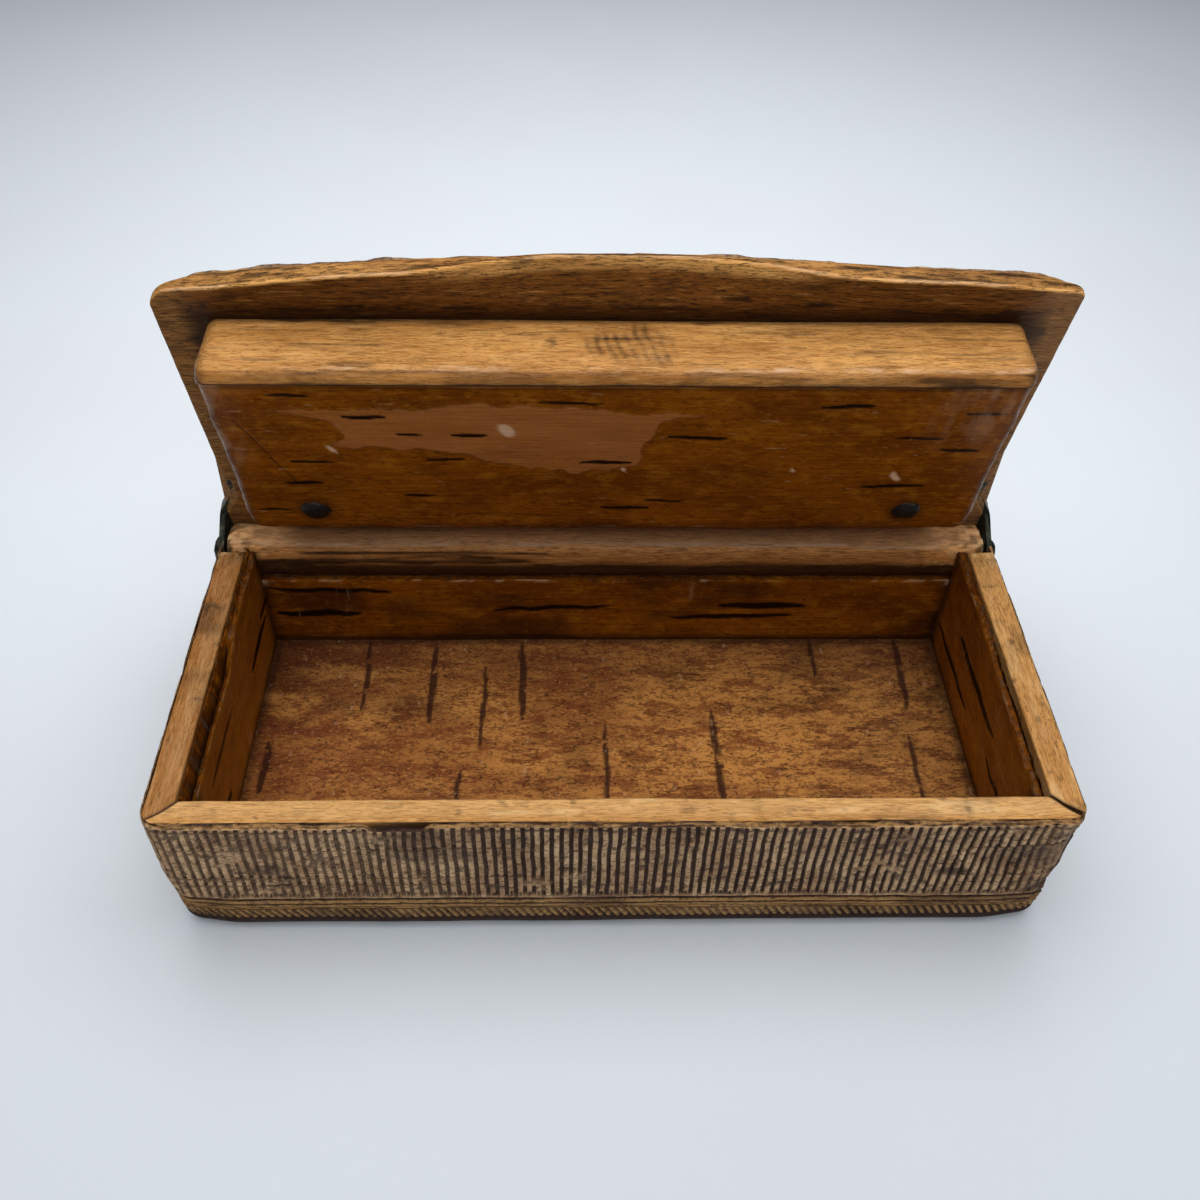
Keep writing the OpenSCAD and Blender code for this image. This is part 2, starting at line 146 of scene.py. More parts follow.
class SnuffBoxSizes(bpy.types.PropertyGroup):
    """Sizes of the wear and the worked detail."""

    corner_round: length("Corner round", "Radius of the upright corners, over the bark", 3.0)
    foot_taper: length("Foot taper", "How far the corners draw in at the foot", 0.9)
    arris: length("Arris", "Radius worn on the inner edges of the boards", 0.25)
    plane_marks: length("Plane marks", "Unevenness of the hand-planed wood", 0.07)
    ragged: length("Ragged edge", "How far the bark's cut edges wander", 0.55)
    rib_pitch: length("Rib pitch", "Distance from rib to rib on the cladding", 1.02)
    rib_depth: length("Rib depth", "Depth of the grooves between ribs", 0.4)
    rope_pitch: length("Rope pitch", "Distance between the slanted cuts round the foot", 0.95)
    score_depth: length("Score depth", "Depth of the scored lines", 0.2)
    scoop_half: length("Scoop half width", "Half width of the finger scoop", 24.0)
    scoop_depth: length("Scoop depth", "Depth of the finger scoop at the lid's edge", 2.0)
    scoop_run: length("Scoop run", "How far the finger scoop runs back", 5.5)
    lid_bow: length("Lid bow", "Radius of the lid's bowed front", 330.0)
    lid_corner: length("Lid corner", "Radius of the lid's front corners at the inner face", 1.6)
    lid_corner_left: length("Left lid corner", "Radius that the left front corner is shaved to outside", 6.5)
    lid_corner_right: length("Right lid corner", "Radius that the right front corner is shaved to outside", 5.2)
    plug_round: length("Plug round", "Radius of the plug's lower edges", 1.8)
    plug_corner: length("Plug corner", "Radius of the plug's front corners", 1.6)
    lenticel: length("Lenticel width", "Width of the dark dashes in the bark", 0.5)
    peel: length("Peel", "Thickness of the paper layer left on the plug's bark", 0.05)


class SnuffBoxColours(bpy.types.PropertyGroup):
    """Colours of the finishes."""

    birch: colour("Birch", "Waxed birch where hands have kept it clean", "#e0a55d")
    # Light birch also paints the light on the rail's crown.
    birch_light: colour("Light birch", "Pale streaks in the birch", "#ecc288")
    birch_deep: colour("Deep birch", "Darker figure in the birch", "#9a6025")
    # Inner birch also paints the shade on the lid's inner face.
    birch_inner: colour("Inner birch", "Birch under the lid, darkened by snuff", "#6e3d0c")
    # Grime also paints shade: round the plug's root, in the mitre gaps, under the rail, in the linings' split and at
    # the floor's back.
    grime: colour("Grime", "Dirt in pores, cracks and corners", "#21120a")
    rail: colour("Rail", "Rubbed wood of the hinge rail", "#f4aa60")
    # Deep rail also paints the shade on the rail's lower front.
    rail_deep: colour("Deep rail", "Darker figure of the hinge rail", "#8e5424")
    amber: colour("Amber bark", "Polished inner side of birch bark", "#8e4d08")
    amber_light: colour("Light amber bark", "Yellower clouds in the polished bark", "#b06f1d")
    amber_deep: colour("Deep amber bark", "Redder clouds in the polished bark", "#5d2a03")
    lenticel: colour("Lenticel", "Dark dashes in the bark", "#1a0a03")
    paper: colour("Paper layer", "Thin paler layer left on the plug's bark", "#aa6a38")
    # Torn bark also paints highlights: the gleam on birch and the sheen on the plug's bark.
    torn: colour("Torn bark", "Pale fibres where bark is worn through", "#dcb592")
    floor: colour("Floor bark", "Bark on the floor of the box", "#d29049")
    floor_red: colour("Red floor bark", "Red layer showing on the floor", "#763a1c")
    floor_dash: colour("Floor lenticel", "Brown dashes in the floor's bark", "#32170f")
    rib: colour("Rib", "Ridges of the ribbed bark", "#dcb68b")
    rib_grey: colour("Grey rib", "Weathered bark on the ribs", "#a07550")
    bark_edge: colour("Bark edge", "Olive layers in the cut edge of the cladding", "#b3864a")
    # Groove also paints the shade at the foot's lower edge.
    groove: colour("Groove", "Dirt in the grooves of the ribbed bark", "#35221f")
    brass: colour("Brass", "Tarnished brass of the straps", "#4a4632")
    verdigris: colour("Verdigris", "Green-black tarnish on the straps", "#191f17")
    iron: colour("Iron", "Blackened nail heads", "#1f1a17")
    paper_floor: colour("Backdrop", "Pale paper under the box", "#e2e9f1")


# Seeded unevenness

def hashed(cells, seed):
    """A repeatable value from -1 to 1 for each whole-numbered cell."""
    mixed = cells[..., 0] * 374761393 + cells[..., 1] * 668265263 + cells[..., 2] * 1440662683 + seed * 974634533
    mixed = (mixed ^ (mixed >> 13)) * 1274126177
    mixed = mixed ^ (mixed >> 16)
    return (mixed & 0xFFFF) / 32767.5 - 1.0


def uneven(points, size, seed):
    """Smooth noise from -1 to 1 at points in mm, with bumps of the given size in mm."""
    cell = np.asarray(points, float) / size
    base = np.floor(cell).astype(np.int64)
    part = cell - base
    part = part * part * (3 - 2 * part)
    total = np.zeros(cell.shape[:-1])
    for corner in itertools.product((0, 1), repeat=3):
        weight = np.prod(np.where(np.array(corner) == 1, part, 1 - part), axis=-1)
        total += weight * hashed(base + np.array(corner), seed)
    return total


def weathered(points, size, seed):
    """Uneven at three scales, each half as wide and half as strong as the last."""
    return sum(uneven(points, np.asarray(size) / 2 ** k, seed + k) / 2 ** k for k in range(3))


def ease(low, high, value):
    """Smooth rise from 0 at low to 1 at high; low may be above high."""
    t = np.clip((np.asarray(value, float) - low) / (high - low), 0, 1)
    return t * t * (3 - 2 * t)


def fall(edge, radius):
    """Drop of a rounded edge at a distance in from it."""
    inside = np.clip(radius - edge, 0, radius)
    return radius - np.sqrt(radius * radius - inside * inside)


def span(low, high, step, lip=0.0, rows=6):
    """Even steps from low to high, closing up over a rounded lip at both ends."""
    turn = np.linspace(0, math.pi / 2, rows + 1)[:-1]
    close = lip * (1 - np.cos(turn))
    middle = np.linspace(low + lip, high - lip, max(2, round((high - low - 2 * lip) / step)) + 1)
    if not lip:
        return middle
    return np.concatenate([low + close, middle, (high - close)[::-1]])


def pair(a, b):
    """Points in a sheet's own plane, for noise."""
    a, b = np.broadcast_arrays(a, b)
    return np.stack([a, b, np.zeros(a.shape)], axis=-1)


def grid(x, y, z):
    """Points from coordinates that are brought to one shape."""
    return np.stack(np.broadcast_arrays(x, y, z), axis=-1)


def chain(*parts):
    """Points or marks of one ring after another, strung together round each ring."""
    return np.concatenate(parts, axis=1)


def dashes(along, across, marks, width, seed):
    """Darkness of lenticels: lens-shaped dashes, each given by its middle along, its middle across and its run."""
    soft = 0.16 * width
    waver = 0.25 * width * uneven(pair(along, across), (2.5, 9, 1), seed)
    dark = np.zeros(np.broadcast(along, across).shape)
    for k, (middle, level, run) in enumerate(marks):
        tilt = 0.012 * ((7 * k) % 5 - 2)
        reach = np.clip(1 - (2 * (along - middle) / run) ** 2, 0, 1)
        body = 0.5 * width * reach ** 0.4 * (0.75 + 0.1 * ((3 * k) % 6))
        offset = np.abs(across - level - tilt * (along - middle) + waver)
        dark = np.maximum(dark, np.where(reach > 0, np.clip((body - offset) / soft + 0.5, 0, 1), 0))
    return dark


def patch(along, across, outline, edge, seed):
    """Cover, 0 to 1, of an irregular patch with a torn edge, from the corners of its outline."""
    points = pair(along, across)
    along = along + 0.5 * weathered(points, 2.4, seed)
    across = across + 0.5 * weathered(points, 2.4, seed + 9)
    inside = np.zeros(along.shape, bool)
    nearest = np.full(along.shape, 1e9)
    for (ax, ay), (bx, by) in zip(outline, outline[1:] + outline[:1]):
        t = np.clip(((along - ax) * (bx - ax) + (across - ay) * (by - ay)) / ((bx - ax) ** 2 + (by - ay) ** 2), 0, 1)
        nearest = np.minimum(nearest, np.hypot(along - ax - t * (bx - ax), across - ay - t * (by - ay)))
        if ay != by:
            crosses = (ay > across) != (by > across)
            inside ^= crosses & (along < ax + (across - ay) * (bx - ax) / (by - ay))
    return np.clip(np.where(inside, nearest, -nearest) / edge + 0.5, 0, 1)


# Meshes from rings of points

def shell(rings, grain, joined=False, **marks):
    """One closed skin: rings of points in mm, the grain's own coordinates in mm, and marks that colour it."""
    return {"rings": rings, "grain": grain, "joined": joined, "marks": marks}


def piece(name, shells):
    """A mesh object from shells, with one face over each end of a shell that isn't joined end to end."""
    points, grain, faces, start = [], [], [], 0
    names = sorted({mark for part in shells for mark in part["marks"]})
    marks = {mark: [] for mark in names}
    for part in shells:
        count, around = part["rings"].shape[:2]
        index = start + np.arange(count * around).reshape(count, around)
        start += index.size
        if part["joined"]:
            index = np.vstack([index, index[:1]])
        else:
            faces += [index[0, ::-1].tolist(), index[-1].tolist()]
        a, b = index[:-1], index[1:]
        faces += np.stack([a, np.roll(a, -1, 1), np.roll(b, -1, 1), b], axis=-1).reshape(-1, 4).tolist()
        points.append(part["rings"].reshape(-1, 3) / MM)
        grain.append(np.broadcast_to(part["grain"], part["rings"].shape).reshape(-1, 3))
        for mark in names:
            level = part["marks"].get(mark, 0.0)
            marks[mark].append(np.broadcast_to(level, part["rings"].shape[:2]).ravel())
    mesh = bpy.data.meshes.new(name)
    mesh.from_pydata(np.concatenate(points).tolist(), [], faces)
    turned_out = bmesh.new()
    turned_out.from_mesh(mesh)
    bmesh.ops.recalc_face_normals(turned_out, faces=turned_out.faces)
    turned_out.to_mesh(mesh)
    turned_out.free()
    stored = mesh.attributes.new("grain", "FLOAT_VECTOR", "POINT")
    stored.data.foreach_set("vector", np.concatenate(grain).astype(np.float32).ravel())
    for mark in names:
        stored = mesh.attributes.new(mark, "FLOAT", "POINT")
        stored.data.foreach_set("value", np.concatenate(marks[mark]).astype(np.float32))
    mesh.shade_smooth()
    mesh.set_sharp_from_angle(angle=SHARP_ANGLE)
    made = bpy.data.objects.new(name, mesh)
    bpy.context.scene.collection.objects.link(made)
    return made


def roughen(made, size, depth, seed):
    """Moves a piece's points along their normals, as tools and handling leave a surface."""
    mesh = made.data
    points = np.empty(3 * len(mesh.vertices), np.float32)
    normals = np.empty(3 * len(mesh.vertices), np.float32)
    mesh.vertices.foreach_get("co", points)
    mesh.vertex_normals.foreach_get("vector", normals)
    points = points.reshape(-1, 3).astype(float)
    shift = depth / MM * weathered(points * MM, size, seed)
    moved = points + shift[:, None] * normals.reshape(-1, 3)
    mesh.vertices.foreach_set("co", moved.astype(np.float32).ravel())
    mesh.update()


def fit(made, body, nodes, material):
    """Gives a piece its material and puts it on its body in place of its nodes."""
    made.data.materials.append(material)
    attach(made, body)
    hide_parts(*nodes)


# Materials

def put(tree, kind, inputs=None, **settings):
    """Adds a node with its settings, and fills its inputs with values or links."""
    made = tree.nodes.new("ShaderNode" + kind)
    for key, value in settings.items():
        setattr(made, key, value)
    for socket, value in (inputs or {}).items():
        if isinstance(value, bpy.types.NodeSocket):
            tree.links.new(value, made.inputs[socket])
        else:
            made.inputs[socket].default_value = value
    return made


def mark(tree, name):
    """A mark stored on the mesh, from 0 to 1."""
    return put(tree, "Attribute", attribute_name=name).outputs["Fac"]


def cloud(tree, size, seed, detail=3.0):
    """Noise from 0 to 1 in the grain's own coordinates, with features of the given size in mm."""
    grain = put(tree, "Attribute", attribute_name="grain").outputs["Vector"]
    scaled = put(
        tree, "VectorMath", {0: grain, 1: [1 / s for s in size], 2: [3.7 * seed] * 3}, operation="MULTIPLY_ADD"
    )
    return put(
        tree, "TexNoise", {"Vector": scaled.outputs[0], "Scale": 1.0, "Detail": detail, "Roughness": 0.6}
    ).outputs[0]


def fleck(tree, size, seed, low, high, most=1.0, least=0.0):
    """A mask of streaks or spots of the given size in mm, rising from least to most."""
    return put(
        tree, "MapRange", {0: cloud(tree, size, seed), 1: low, 2: high, 3: least, 4: most},
        interpolation_type="SMOOTHSTEP",
    ).outputs[0]


def thread(tree, size, seed, width, most):
    """A mask of thin lines, drawn out along the grain, where noise passes its middle."""
    middle = put(tree, "Math", {0: cloud(tree, size, seed), 1: 0.5}, operation="SUBTRACT").outputs[0]
    away = put(tree, "Math", {0: middle}, operation="ABSOLUTE").outputs[0]
    return put(tree, "MapRange", {0: away, 1: 0.0, 2: width, 3: most, 4: 0.0}).outputs[0]


def layered(tree, base, layers):
    """A base colour with other colours laid over it, each through its own mask."""
    shown = (*base, 1.0)
    for mask, over in layers:
        shown = put(tree, "Mix", {0: mask, 6: shown, 7: (*over, 1.0)}, data_type="RGBA").outputs[2]
    return shown


def surface(name, paint, **shine):
    """A material whose paint function returns its colour, roughness, height and the height's depth in mm."""
    made = bpy.data.materials.get(name)
    if made:
        return made
    made = bpy.data.materials.new(name)
    made.use_nodes = True
    tree = made.node_tree
    tree.nodes.clear()
    shown, rough, height, relief = paint(tree)
    bump = put(tree, "Bump", {"Height": height, "Distance": relief / MM, "Strength": 1.0})
    inputs = {"Base Color": shown, "Roughness": rough, "Normal": bump.outputs[0], **shine}
    shader = put(tree, "BsdfPrincipled", inputs)
    put(tree, "OutputMaterial", {"Surface": shader.outputs[0]})
    return made


def colours():
    """The colour settings."""
    return bpy.context.scene.snuff_box_colours


def birch(name, pale, deep, gloss, sheen):
    """Birch planed by hand and waxed: soft figure, fine dark pores and threads, dirt and painted shade in the low
    places, a soft shine and a painted highlight along the gleam mark."""
    c = colours()

    def paint(tree):
        pores = fleck(tree, (1.6, 0.2, 0.2), 3, 0.54, 0.66)
        shown = layered(tree, pale, [
            (fleck(tree, (34, 2.6, 2.6), 1, 0.4, 0.68, 0.3), deep),
            (fleck(tree, (7, 0.6, 0.6), 4, 0.46, 0.7, 0.4), deep),
            # The snuff mark also carries painted shade on the rail.
            (mark(tree, "snuff"), deep),
            (fleck(tree, (2.4, 0.24, 0.24), 7, 0.5, 0.68, 0.22), c.birch_light),
            (thread(tree, (7, 0.36, 0.36), 2, 0.035, 0.6), deep),
            (thread(tree, (5, 0.34, 0.34), 8, 0.018, 0.4), c.grime),
            (fleck(tree, (1.8, 0.18, 0.18), 3, 0.55, 0.64, 0.65), deep),
            (fleck(tree, (1.2, 0.15, 0.15), 9, 0.6, 0.67, 0.42), c.grime),
            (fleck(tree, (2.2, 0.9, 0.9), 5, 0.62, 0.8, 0.2), c.grime),
            (mark(tree, "wear"), c.birch_light),
            (mark(tree, "stain"), c.grime),
            # Painted highlight, laid in the torn-bark colour.
            (mark(tree, "gleam"), c.torn),
        ])
        return shown, fleck(tree, (5, 0.8, 0.8), 6, 0.3, 0.7, gloss + 0.2, gloss), pores, -0.05
    return surface(name, paint, **{"Specular IOR Level": sheen})


def clean_birch():
    """Planed birch kept clean by hands: warm honey boards with a soft wax shine."""
    c = colours()
    return birch("Birch, planed and waxed", c.birch, c.birch_deep, 0.28, 0.16)


def rail_birch():
    """Birch rubbed bare by the lid, almost without shine: painted light along its crown and painted shade below."""
    c = colours()
    return birch("Birch rail, rubbed by the lid, painted light and shade", c.rail, c.rail_deep, 0.34, 0.07)


def lid_birch():
    """Birch of the lid: clean at the handled edge and dark inside, with snuff and painted shade, so a mark blends the
    two.
    """
    c = colours()

    def paint(tree):
        pores = fleck(tree, (1.6, 0.2, 0.2), 3, 0.54, 0.66)
        shown = layered(tree, c.birch, [
            (fleck(tree, (6, 0.6, 0.6), 4, 0.42, 0.7, 0.55), c.birch_deep),
            # Snuff darkening and painted shade of the inner face.
            (mark(tree, "snuff"), c.birch_inner),
            (fleck(tree, (16, 1.6, 1.6), 1, 0.4, 0.7, 0.4), c.rail_deep),
            (fleck(tree, (3, 0.34, 0.34), 9, 0.54, 0.72, 0.3), c.birch),
            (thread(tree, (7, 0.45, 0.45), 2, 0.03, 0.7), c.grime),
            (thread(tree, (4, 0.3, 0.3), 8, 0.02, 0.7), c.grime),
            (fleck(tree, (1.6, 0.2, 0.2), 3, 0.56, 0.66, 0.7), c.grime),
            (mark(tree, "stain"), c.grime),
            # Painted highlight, laid in the torn-bark colour.
            (mark(tree, "gleam"), c.torn),
        ])
        return shown, fleck(tree, (5, 1.2, 1.2), 6, 0.3, 0.7, 0.6, 0.4), pores, -0.05
    return surface("Birch lid, planed, darkened by snuff and painted shade", paint, **{"Specular IOR Level": 0.06})


def amber_bark():
    """Birch bark with its inner side out, scraped and polished: amber clouds, fine cross streaks, dark lenticels,
    pale fibres where it has torn, and a low gloss."""
    c = colours()

    def paint(tree):
        streaks = fleck(tree, (7, 0.5, 0.5), 2, 0.35, 0.75)
        shown = layered(tree, c.amber, [
            (fleck(tree, (13, 7, 7), 1, 0.38, 0.66, 0.7), c.amber_deep),
            (fleck(tree, (3, 2.2, 2.2), 7, 0.48, 0.72, 0.5), c.amber_light),
            (fleck(tree, (7, 0.5, 0.5), 2, 0.45, 0.75, 0.5), c.amber_deep),
            (thread(tree, (6, 1.1, 1.1), 8, 0.02, 0.45), c.amber_deep),
            (fleck(tree, (1.1, 0.6, 0.6), 3, 0.52, 0.68, 0.65), c.amber_deep),
            (mark(tree, "glow"), c.amber_light),
            (mark(tree, "paper"), c.paper),
            (fleck(tree, (0.9, 0.4, 0.4), 4, 0.56, 0.7, 0.45), c.amber_light),
            (fleck(tree, (1.0, 0.4, 0.4), 9, 0.64, 0.72, 0.6), c.grime),
            (mark(tree, "stain"), c.grime),
            (mark(tree, "lenticel"), c.lenticel),
            (mark(tree, "wear"), c.torn),
        ])
        return shown, fleck(tree, (4, 1.5, 1.5), 5, 0.3, 0.7, 0.44, 0.24), streaks, 0.04
    return surface("Birch bark, scraped and polished", paint, **{"Specular IOR Level": 0.06})


def floor_bark():
    """Birch bark worn on the floor: a tan layer broken into waves over a red one, pale specks and dark lenticels."""
    c = colours()

    def paint(tree):
        waves = cloud(tree, (6, 2.0, 2.0), 1, 5.0)
        red = put(tree, "MapRange", {0: waves, 1: 0.53, 2: 0.56, 4: 0.65}).outputs[0]
        shown = layered(tree, c.floor, [
            (fleck(tree, (24, 14, 14), 2, 0.42, 0.66, 0.6), c.floor_red),
            (red, c.floor_red),
            (thread(tree, (6, 2.0, 2.0), 11, 0.02, 0.8), c.floor_dash),
            (thread(tree, (3, 1.2, 1.2), 6, 0.03, 0.6), c.floor_red),
            (mark(tree, "snuff"), c.floor_red),
            (fleck(tree, (1.0, 0.6, 0.6), 3, 0.5, 0.66, 0.6), c.floor_red),
            (fleck(tree, (0.5, 0.36, 0.36), 7, 0.55, 0.66, 0.65), c.floor_dash),
            (fleck(tree, (0.7, 0.4, 0.4), 8, 0.56, 0.68, 0.6), c.floor),
            (fleck(tree, (0.5, 0.3, 0.3), 9, 0.64, 0.74, 0.3), c.torn),
            (mark(tree, "stain"), c.grime),
            (mark(tree, "lenticel"), c.floor_dash),
            (fleck(tree, (0.4, 0.3, 0.3), 4, 0.76, 0.8, 0.5), c.torn),
            (mark(tree, "wear"), c.torn),
        ])
        return shown, fleck(tree, (3, 1.5, 1.5), 5, 0.3, 0.7, 0.72, 0.5), waves, 0.12
    return surface("Birch bark floor, worn in layers", paint, **{"Specular IOR Level": 0.15})


def ribbed_bark():
    """Outer birch bark pressed into ribs: pale speckled ridges nicked across, purple-brown dirt in the grooves,
    and no shine."""
    c = colours()

    def paint(tree):
        nicks = fleck(tree, (0.6, 0.6, 0.24), 2, 0.42, 0.68)
        shown = layered(tree, c.rib, [
            (fleck(tree, (5, 5, 5), 1, 0.35, 0.65, 0.55), c.rib_grey),
            (fleck(tree, (1.2, 1.2, 1.8), 5, 0.46, 0.7, 0.6), c.rib_grey),
            (mark(tree, "wear"), c.bark_edge),
            (fleck(tree, (0.6, 0.6, 0.24), 2, 0.5, 0.64, 0.6), c.groove),
            (fleck(tree, (0.2, 0.2, 2.4), 3, 0.55, 0.75, 0.35), c.groove),
            (mark(tree, "groove"), c.groove),
            (mark(tree, "stain"), c.groove),
            (fleck(tree, (0.22, 0.22, 0.16), 6, 0.58, 0.7, 0.5), c.groove),
            (fleck(tree, (0.2, 0.2, 0.16), 7, 0.62, 0.72, 0.4), c.rib),
        ])
        return shown, fleck(tree, (2, 2, 2), 4, 0.3, 0.7, 0.85, 0.62), nicks, -0.1
    return surface("Birch bark, pressed in ribs", paint, **{"Specular IOR Level": 0.2})


def strap_brass():
    """Sheet brass gone green-black with age: dull patches of verdigris over a darker metal."""
    c = colours()

    def paint(tree):
        tarnish = fleck(tree, (1.4, 1.4, 1.4), 1, 0.35, 0.6)
        shown = layered(tree, c.brass, [(fleck(tree, (1.4, 1.4, 1.4), 1, 0.32, 0.55, 0.95), c.verdigris)])
        return shown, fleck(tree, (0.9, 0.9, 0.9), 2, 0.3, 0.7, 0.62, 0.4), tarnish, 0.03
    return surface("Brass, hammered and tarnished", paint, Metallic=0.7)


def nail_iron():
    """Forged iron, blackened: hammer facets and a dull sheen."""
    c = colours()

    def paint(tree):
        facets = fleck(tree, (0.8, 0.8, 0.8), 1, 0.35, 0.65)
        shown = layered(tree, c.iron, [(fleck(tree, (0.5, 0.5, 0.5), 2, 0.5, 0.75, 0.6), c.grime)])
        return shown, fleck(tree, (0.6, 0.6, 0.6), 3, 0.3, 0.7, 0.6, 0.42), facets, 0.04
    return surface("Iron, forged and blackened", paint, Metallic=0.6)


def backdrop_paper():
    """Matt paper: pale, cool and almost even."""
    c = colours()

    def paint(tree):
        fibres = fleck(tree, (0.5, 0.5, 0.5), 1, 0.3, 0.7)
        shown = layered(tree, c.paper_floor, [(fleck(tree, (60, 60, 60), 2, 0.4, 0.7, 0.03), c.rib_grey)])
        return shown, fleck(tree, (2, 2, 2), 3, 0.3, 0.7, 0.95, 0.85), fibres, 0.01
    return surface("Paper, matt and pale", paint)


def sizes():
    """The size settings as plain numbers, in mm."""
    group = bpy.context.scene.snuff_box_sizes
    return {name: getattr(group, name) * MM for name in SnuffBoxSizes.__annotations__}


# The box

def clip_corner(points, half, radius):
    """Pulls points that pass an upright round corner back onto it."""
    centre = half - radius
    side = np.where(points[..., :2] < 0, -1.0, 1.0)
    over = np.abs(points[..., :2]) - centre
    reach = np.hypot(over[..., 0], over[..., 1])
    pulled = (over > 0).all(-1) & (reach > radius)
    scale = np.where(pulled, radius / np.maximum(reach, 1e-6), 1.0)
    clipped = points.copy()
    clipped[..., :2] = np.where(pulled[..., None], side * (centre + over * scale[..., None]), points[..., :2])
    return clipped


def drawn_in(points, s):
    """How far the outside draws in near the upright corners, more and more towards the foot."""
    near = np.hypot(BARK_HALF[0] - np.abs(points[..., 0]), BARK_HALF[1] - np.abs(points[..., 1]))
    return s["foot_taper"] * ease(8.0, 1.3, near) * np.clip(1 - points[..., 2] / 10.5, 0, 1)


def tucked(points, share, s):
    """Points of a board drawn in with the cladding at the foot, by a share that grows towards its outer side."""
    inward = share * (0.75 * drawn_in(points, s) + 0.8 * fall(points[..., 2], FOOT_ROUND))
    moved = points.copy()
    moved[..., :2] -= np.clip(points[..., :2] / 5, -1, 1) * inward[..., None]
    return moved


def board_outline(thick, low, high, inner, outer, breaks=()):
    """Section of an upright board: up its inner side, over its worn rim and down its outer side."""
    side = np.concatenate([np.linspace(low, high - 3, 6), np.linspace(high - 3, high - 0.5, 9)[1:], breaks])
    side = np.sort(side)
    turn = np.linspace(0, math.pi / 2, 6)
    rise, lean = np.sin(turn) - 1, 1 - np.cos(turn)
    top = np.linspace(inner, thick - outer, 14)[1:-1]
    across = np.concatenate([0 * side, inner * lean, top, thick - outer * lean[::-1], 0 * side + thick])
    height = np.concatenate([side, high + inner * rise, 0 * top + high, high + outer * rise[::-1], side[::-1]])
    return across, height


def rim_stain(points, across, seed):
    """Dirt on a rim: along its outer crack, along the lining and in scattered smears."""
    crack = ease(-0.4, 0.3, uneven(points, 9, seed + 3))
    lines = 0.4 * ease(0.25, 0.0, across) + 0.85 * crack * ease(WALL_T - 0.12, WALL_T - 0.02, across)
    smears = 0.45 * ease(0.3, 0.9, weathered(points, (7, 7, 3), seed))
    spots = 0.4 * ease(0.55, 0.9, weathered(points, 1.2, seed + 5))
    return np.clip(lines + smears + spots, 0, 0.92)


def make_walls():
    s = sizes()
    radius = s["corner_round"] - BARK_T
    low = corners("front_wall")[0][2]
    across, height = board_outline(WALL_T, low, RIM_Z, s["arris"], 0.5 * s["arris"])
    u = np.linspace(-1, 1, 300)[:, None]
    worn_rim = ease(RIM_Z - 1.6, RIM_Z - 0.5, height)
    reach = across - 0.35 * worn_rim * ease(1.6, 0.0, across)
    x = u * (INNER_X + reach + 0.6 * worn_rim * ease(1.0, WALL_T, across))
    y = np.broadcast_to(INNER_FRONT - reach, x.shape)
    points = clip_corner(np.stack([x, y, np.broadcast_to(height, x.shape)], axis=-1), WOOD_HALF + (0.65, 0.1), radius)
    points = tucked(points, across / WALL_T, s)
    spread = np.broadcast_to(across, x.shape)
    stain = rim_stain(points, spread, 11)
    # Painted shade: the mitre faces at the board's ends darkened.
    stain = np.maximum(stain, 0.9 * ease(0.007, 0.0, 1 - np.abs(u)))
    worn = (0.25 + 0.45 * ease(0.3, 0.8, weathered(points, (6, 1, 1), 15))) * ease(WALL_T, 1.2, spread)
    wall = piece("front_wall_board", [shell(points, points, stain=stain, wear=worn)])
    roughen(wall, (9, 2, 2), s["plane_marks"], 12)
    fit(wall, "box", ["front_wall"], clean_birch())
    for side, node in ((-1, "left_wall"), (1, "right_wall")):
        make_end_wall(side, node, s, radius)
    make_back_wall(s)


def make_back_wall(s):
    """The back wall, hidden under the rail: a plain sawn board, dirty along its top."""
    low, high = corners("back_wall")
    x = span(low[0], high[0], 0.5)[:, None]
    side = np.linspace(low[2], high[2], 24)
    height = np.concatenate([side, side[::-1]])
    across = np.repeat([0.0, 1.0], len(side))
    points = grid(x, low[1] + across * (high[1] - low[1] - 0.05), height)
    points[..., 1] -= across * (drawn_in(points, s) + fall(height, FOOT_ROUND))
    dirt = 0.35 + 0.3 * weathered(points, (6, 2, 2), 17) + 0.4 * ease(high[2] - 2, high[2], height)
    wall = piece("back_wall_board", [shell(points, points, stain=np.clip(dirt, 0, 0.9))])
    fit(wall, "box", ["back_wall"], clean_birch())


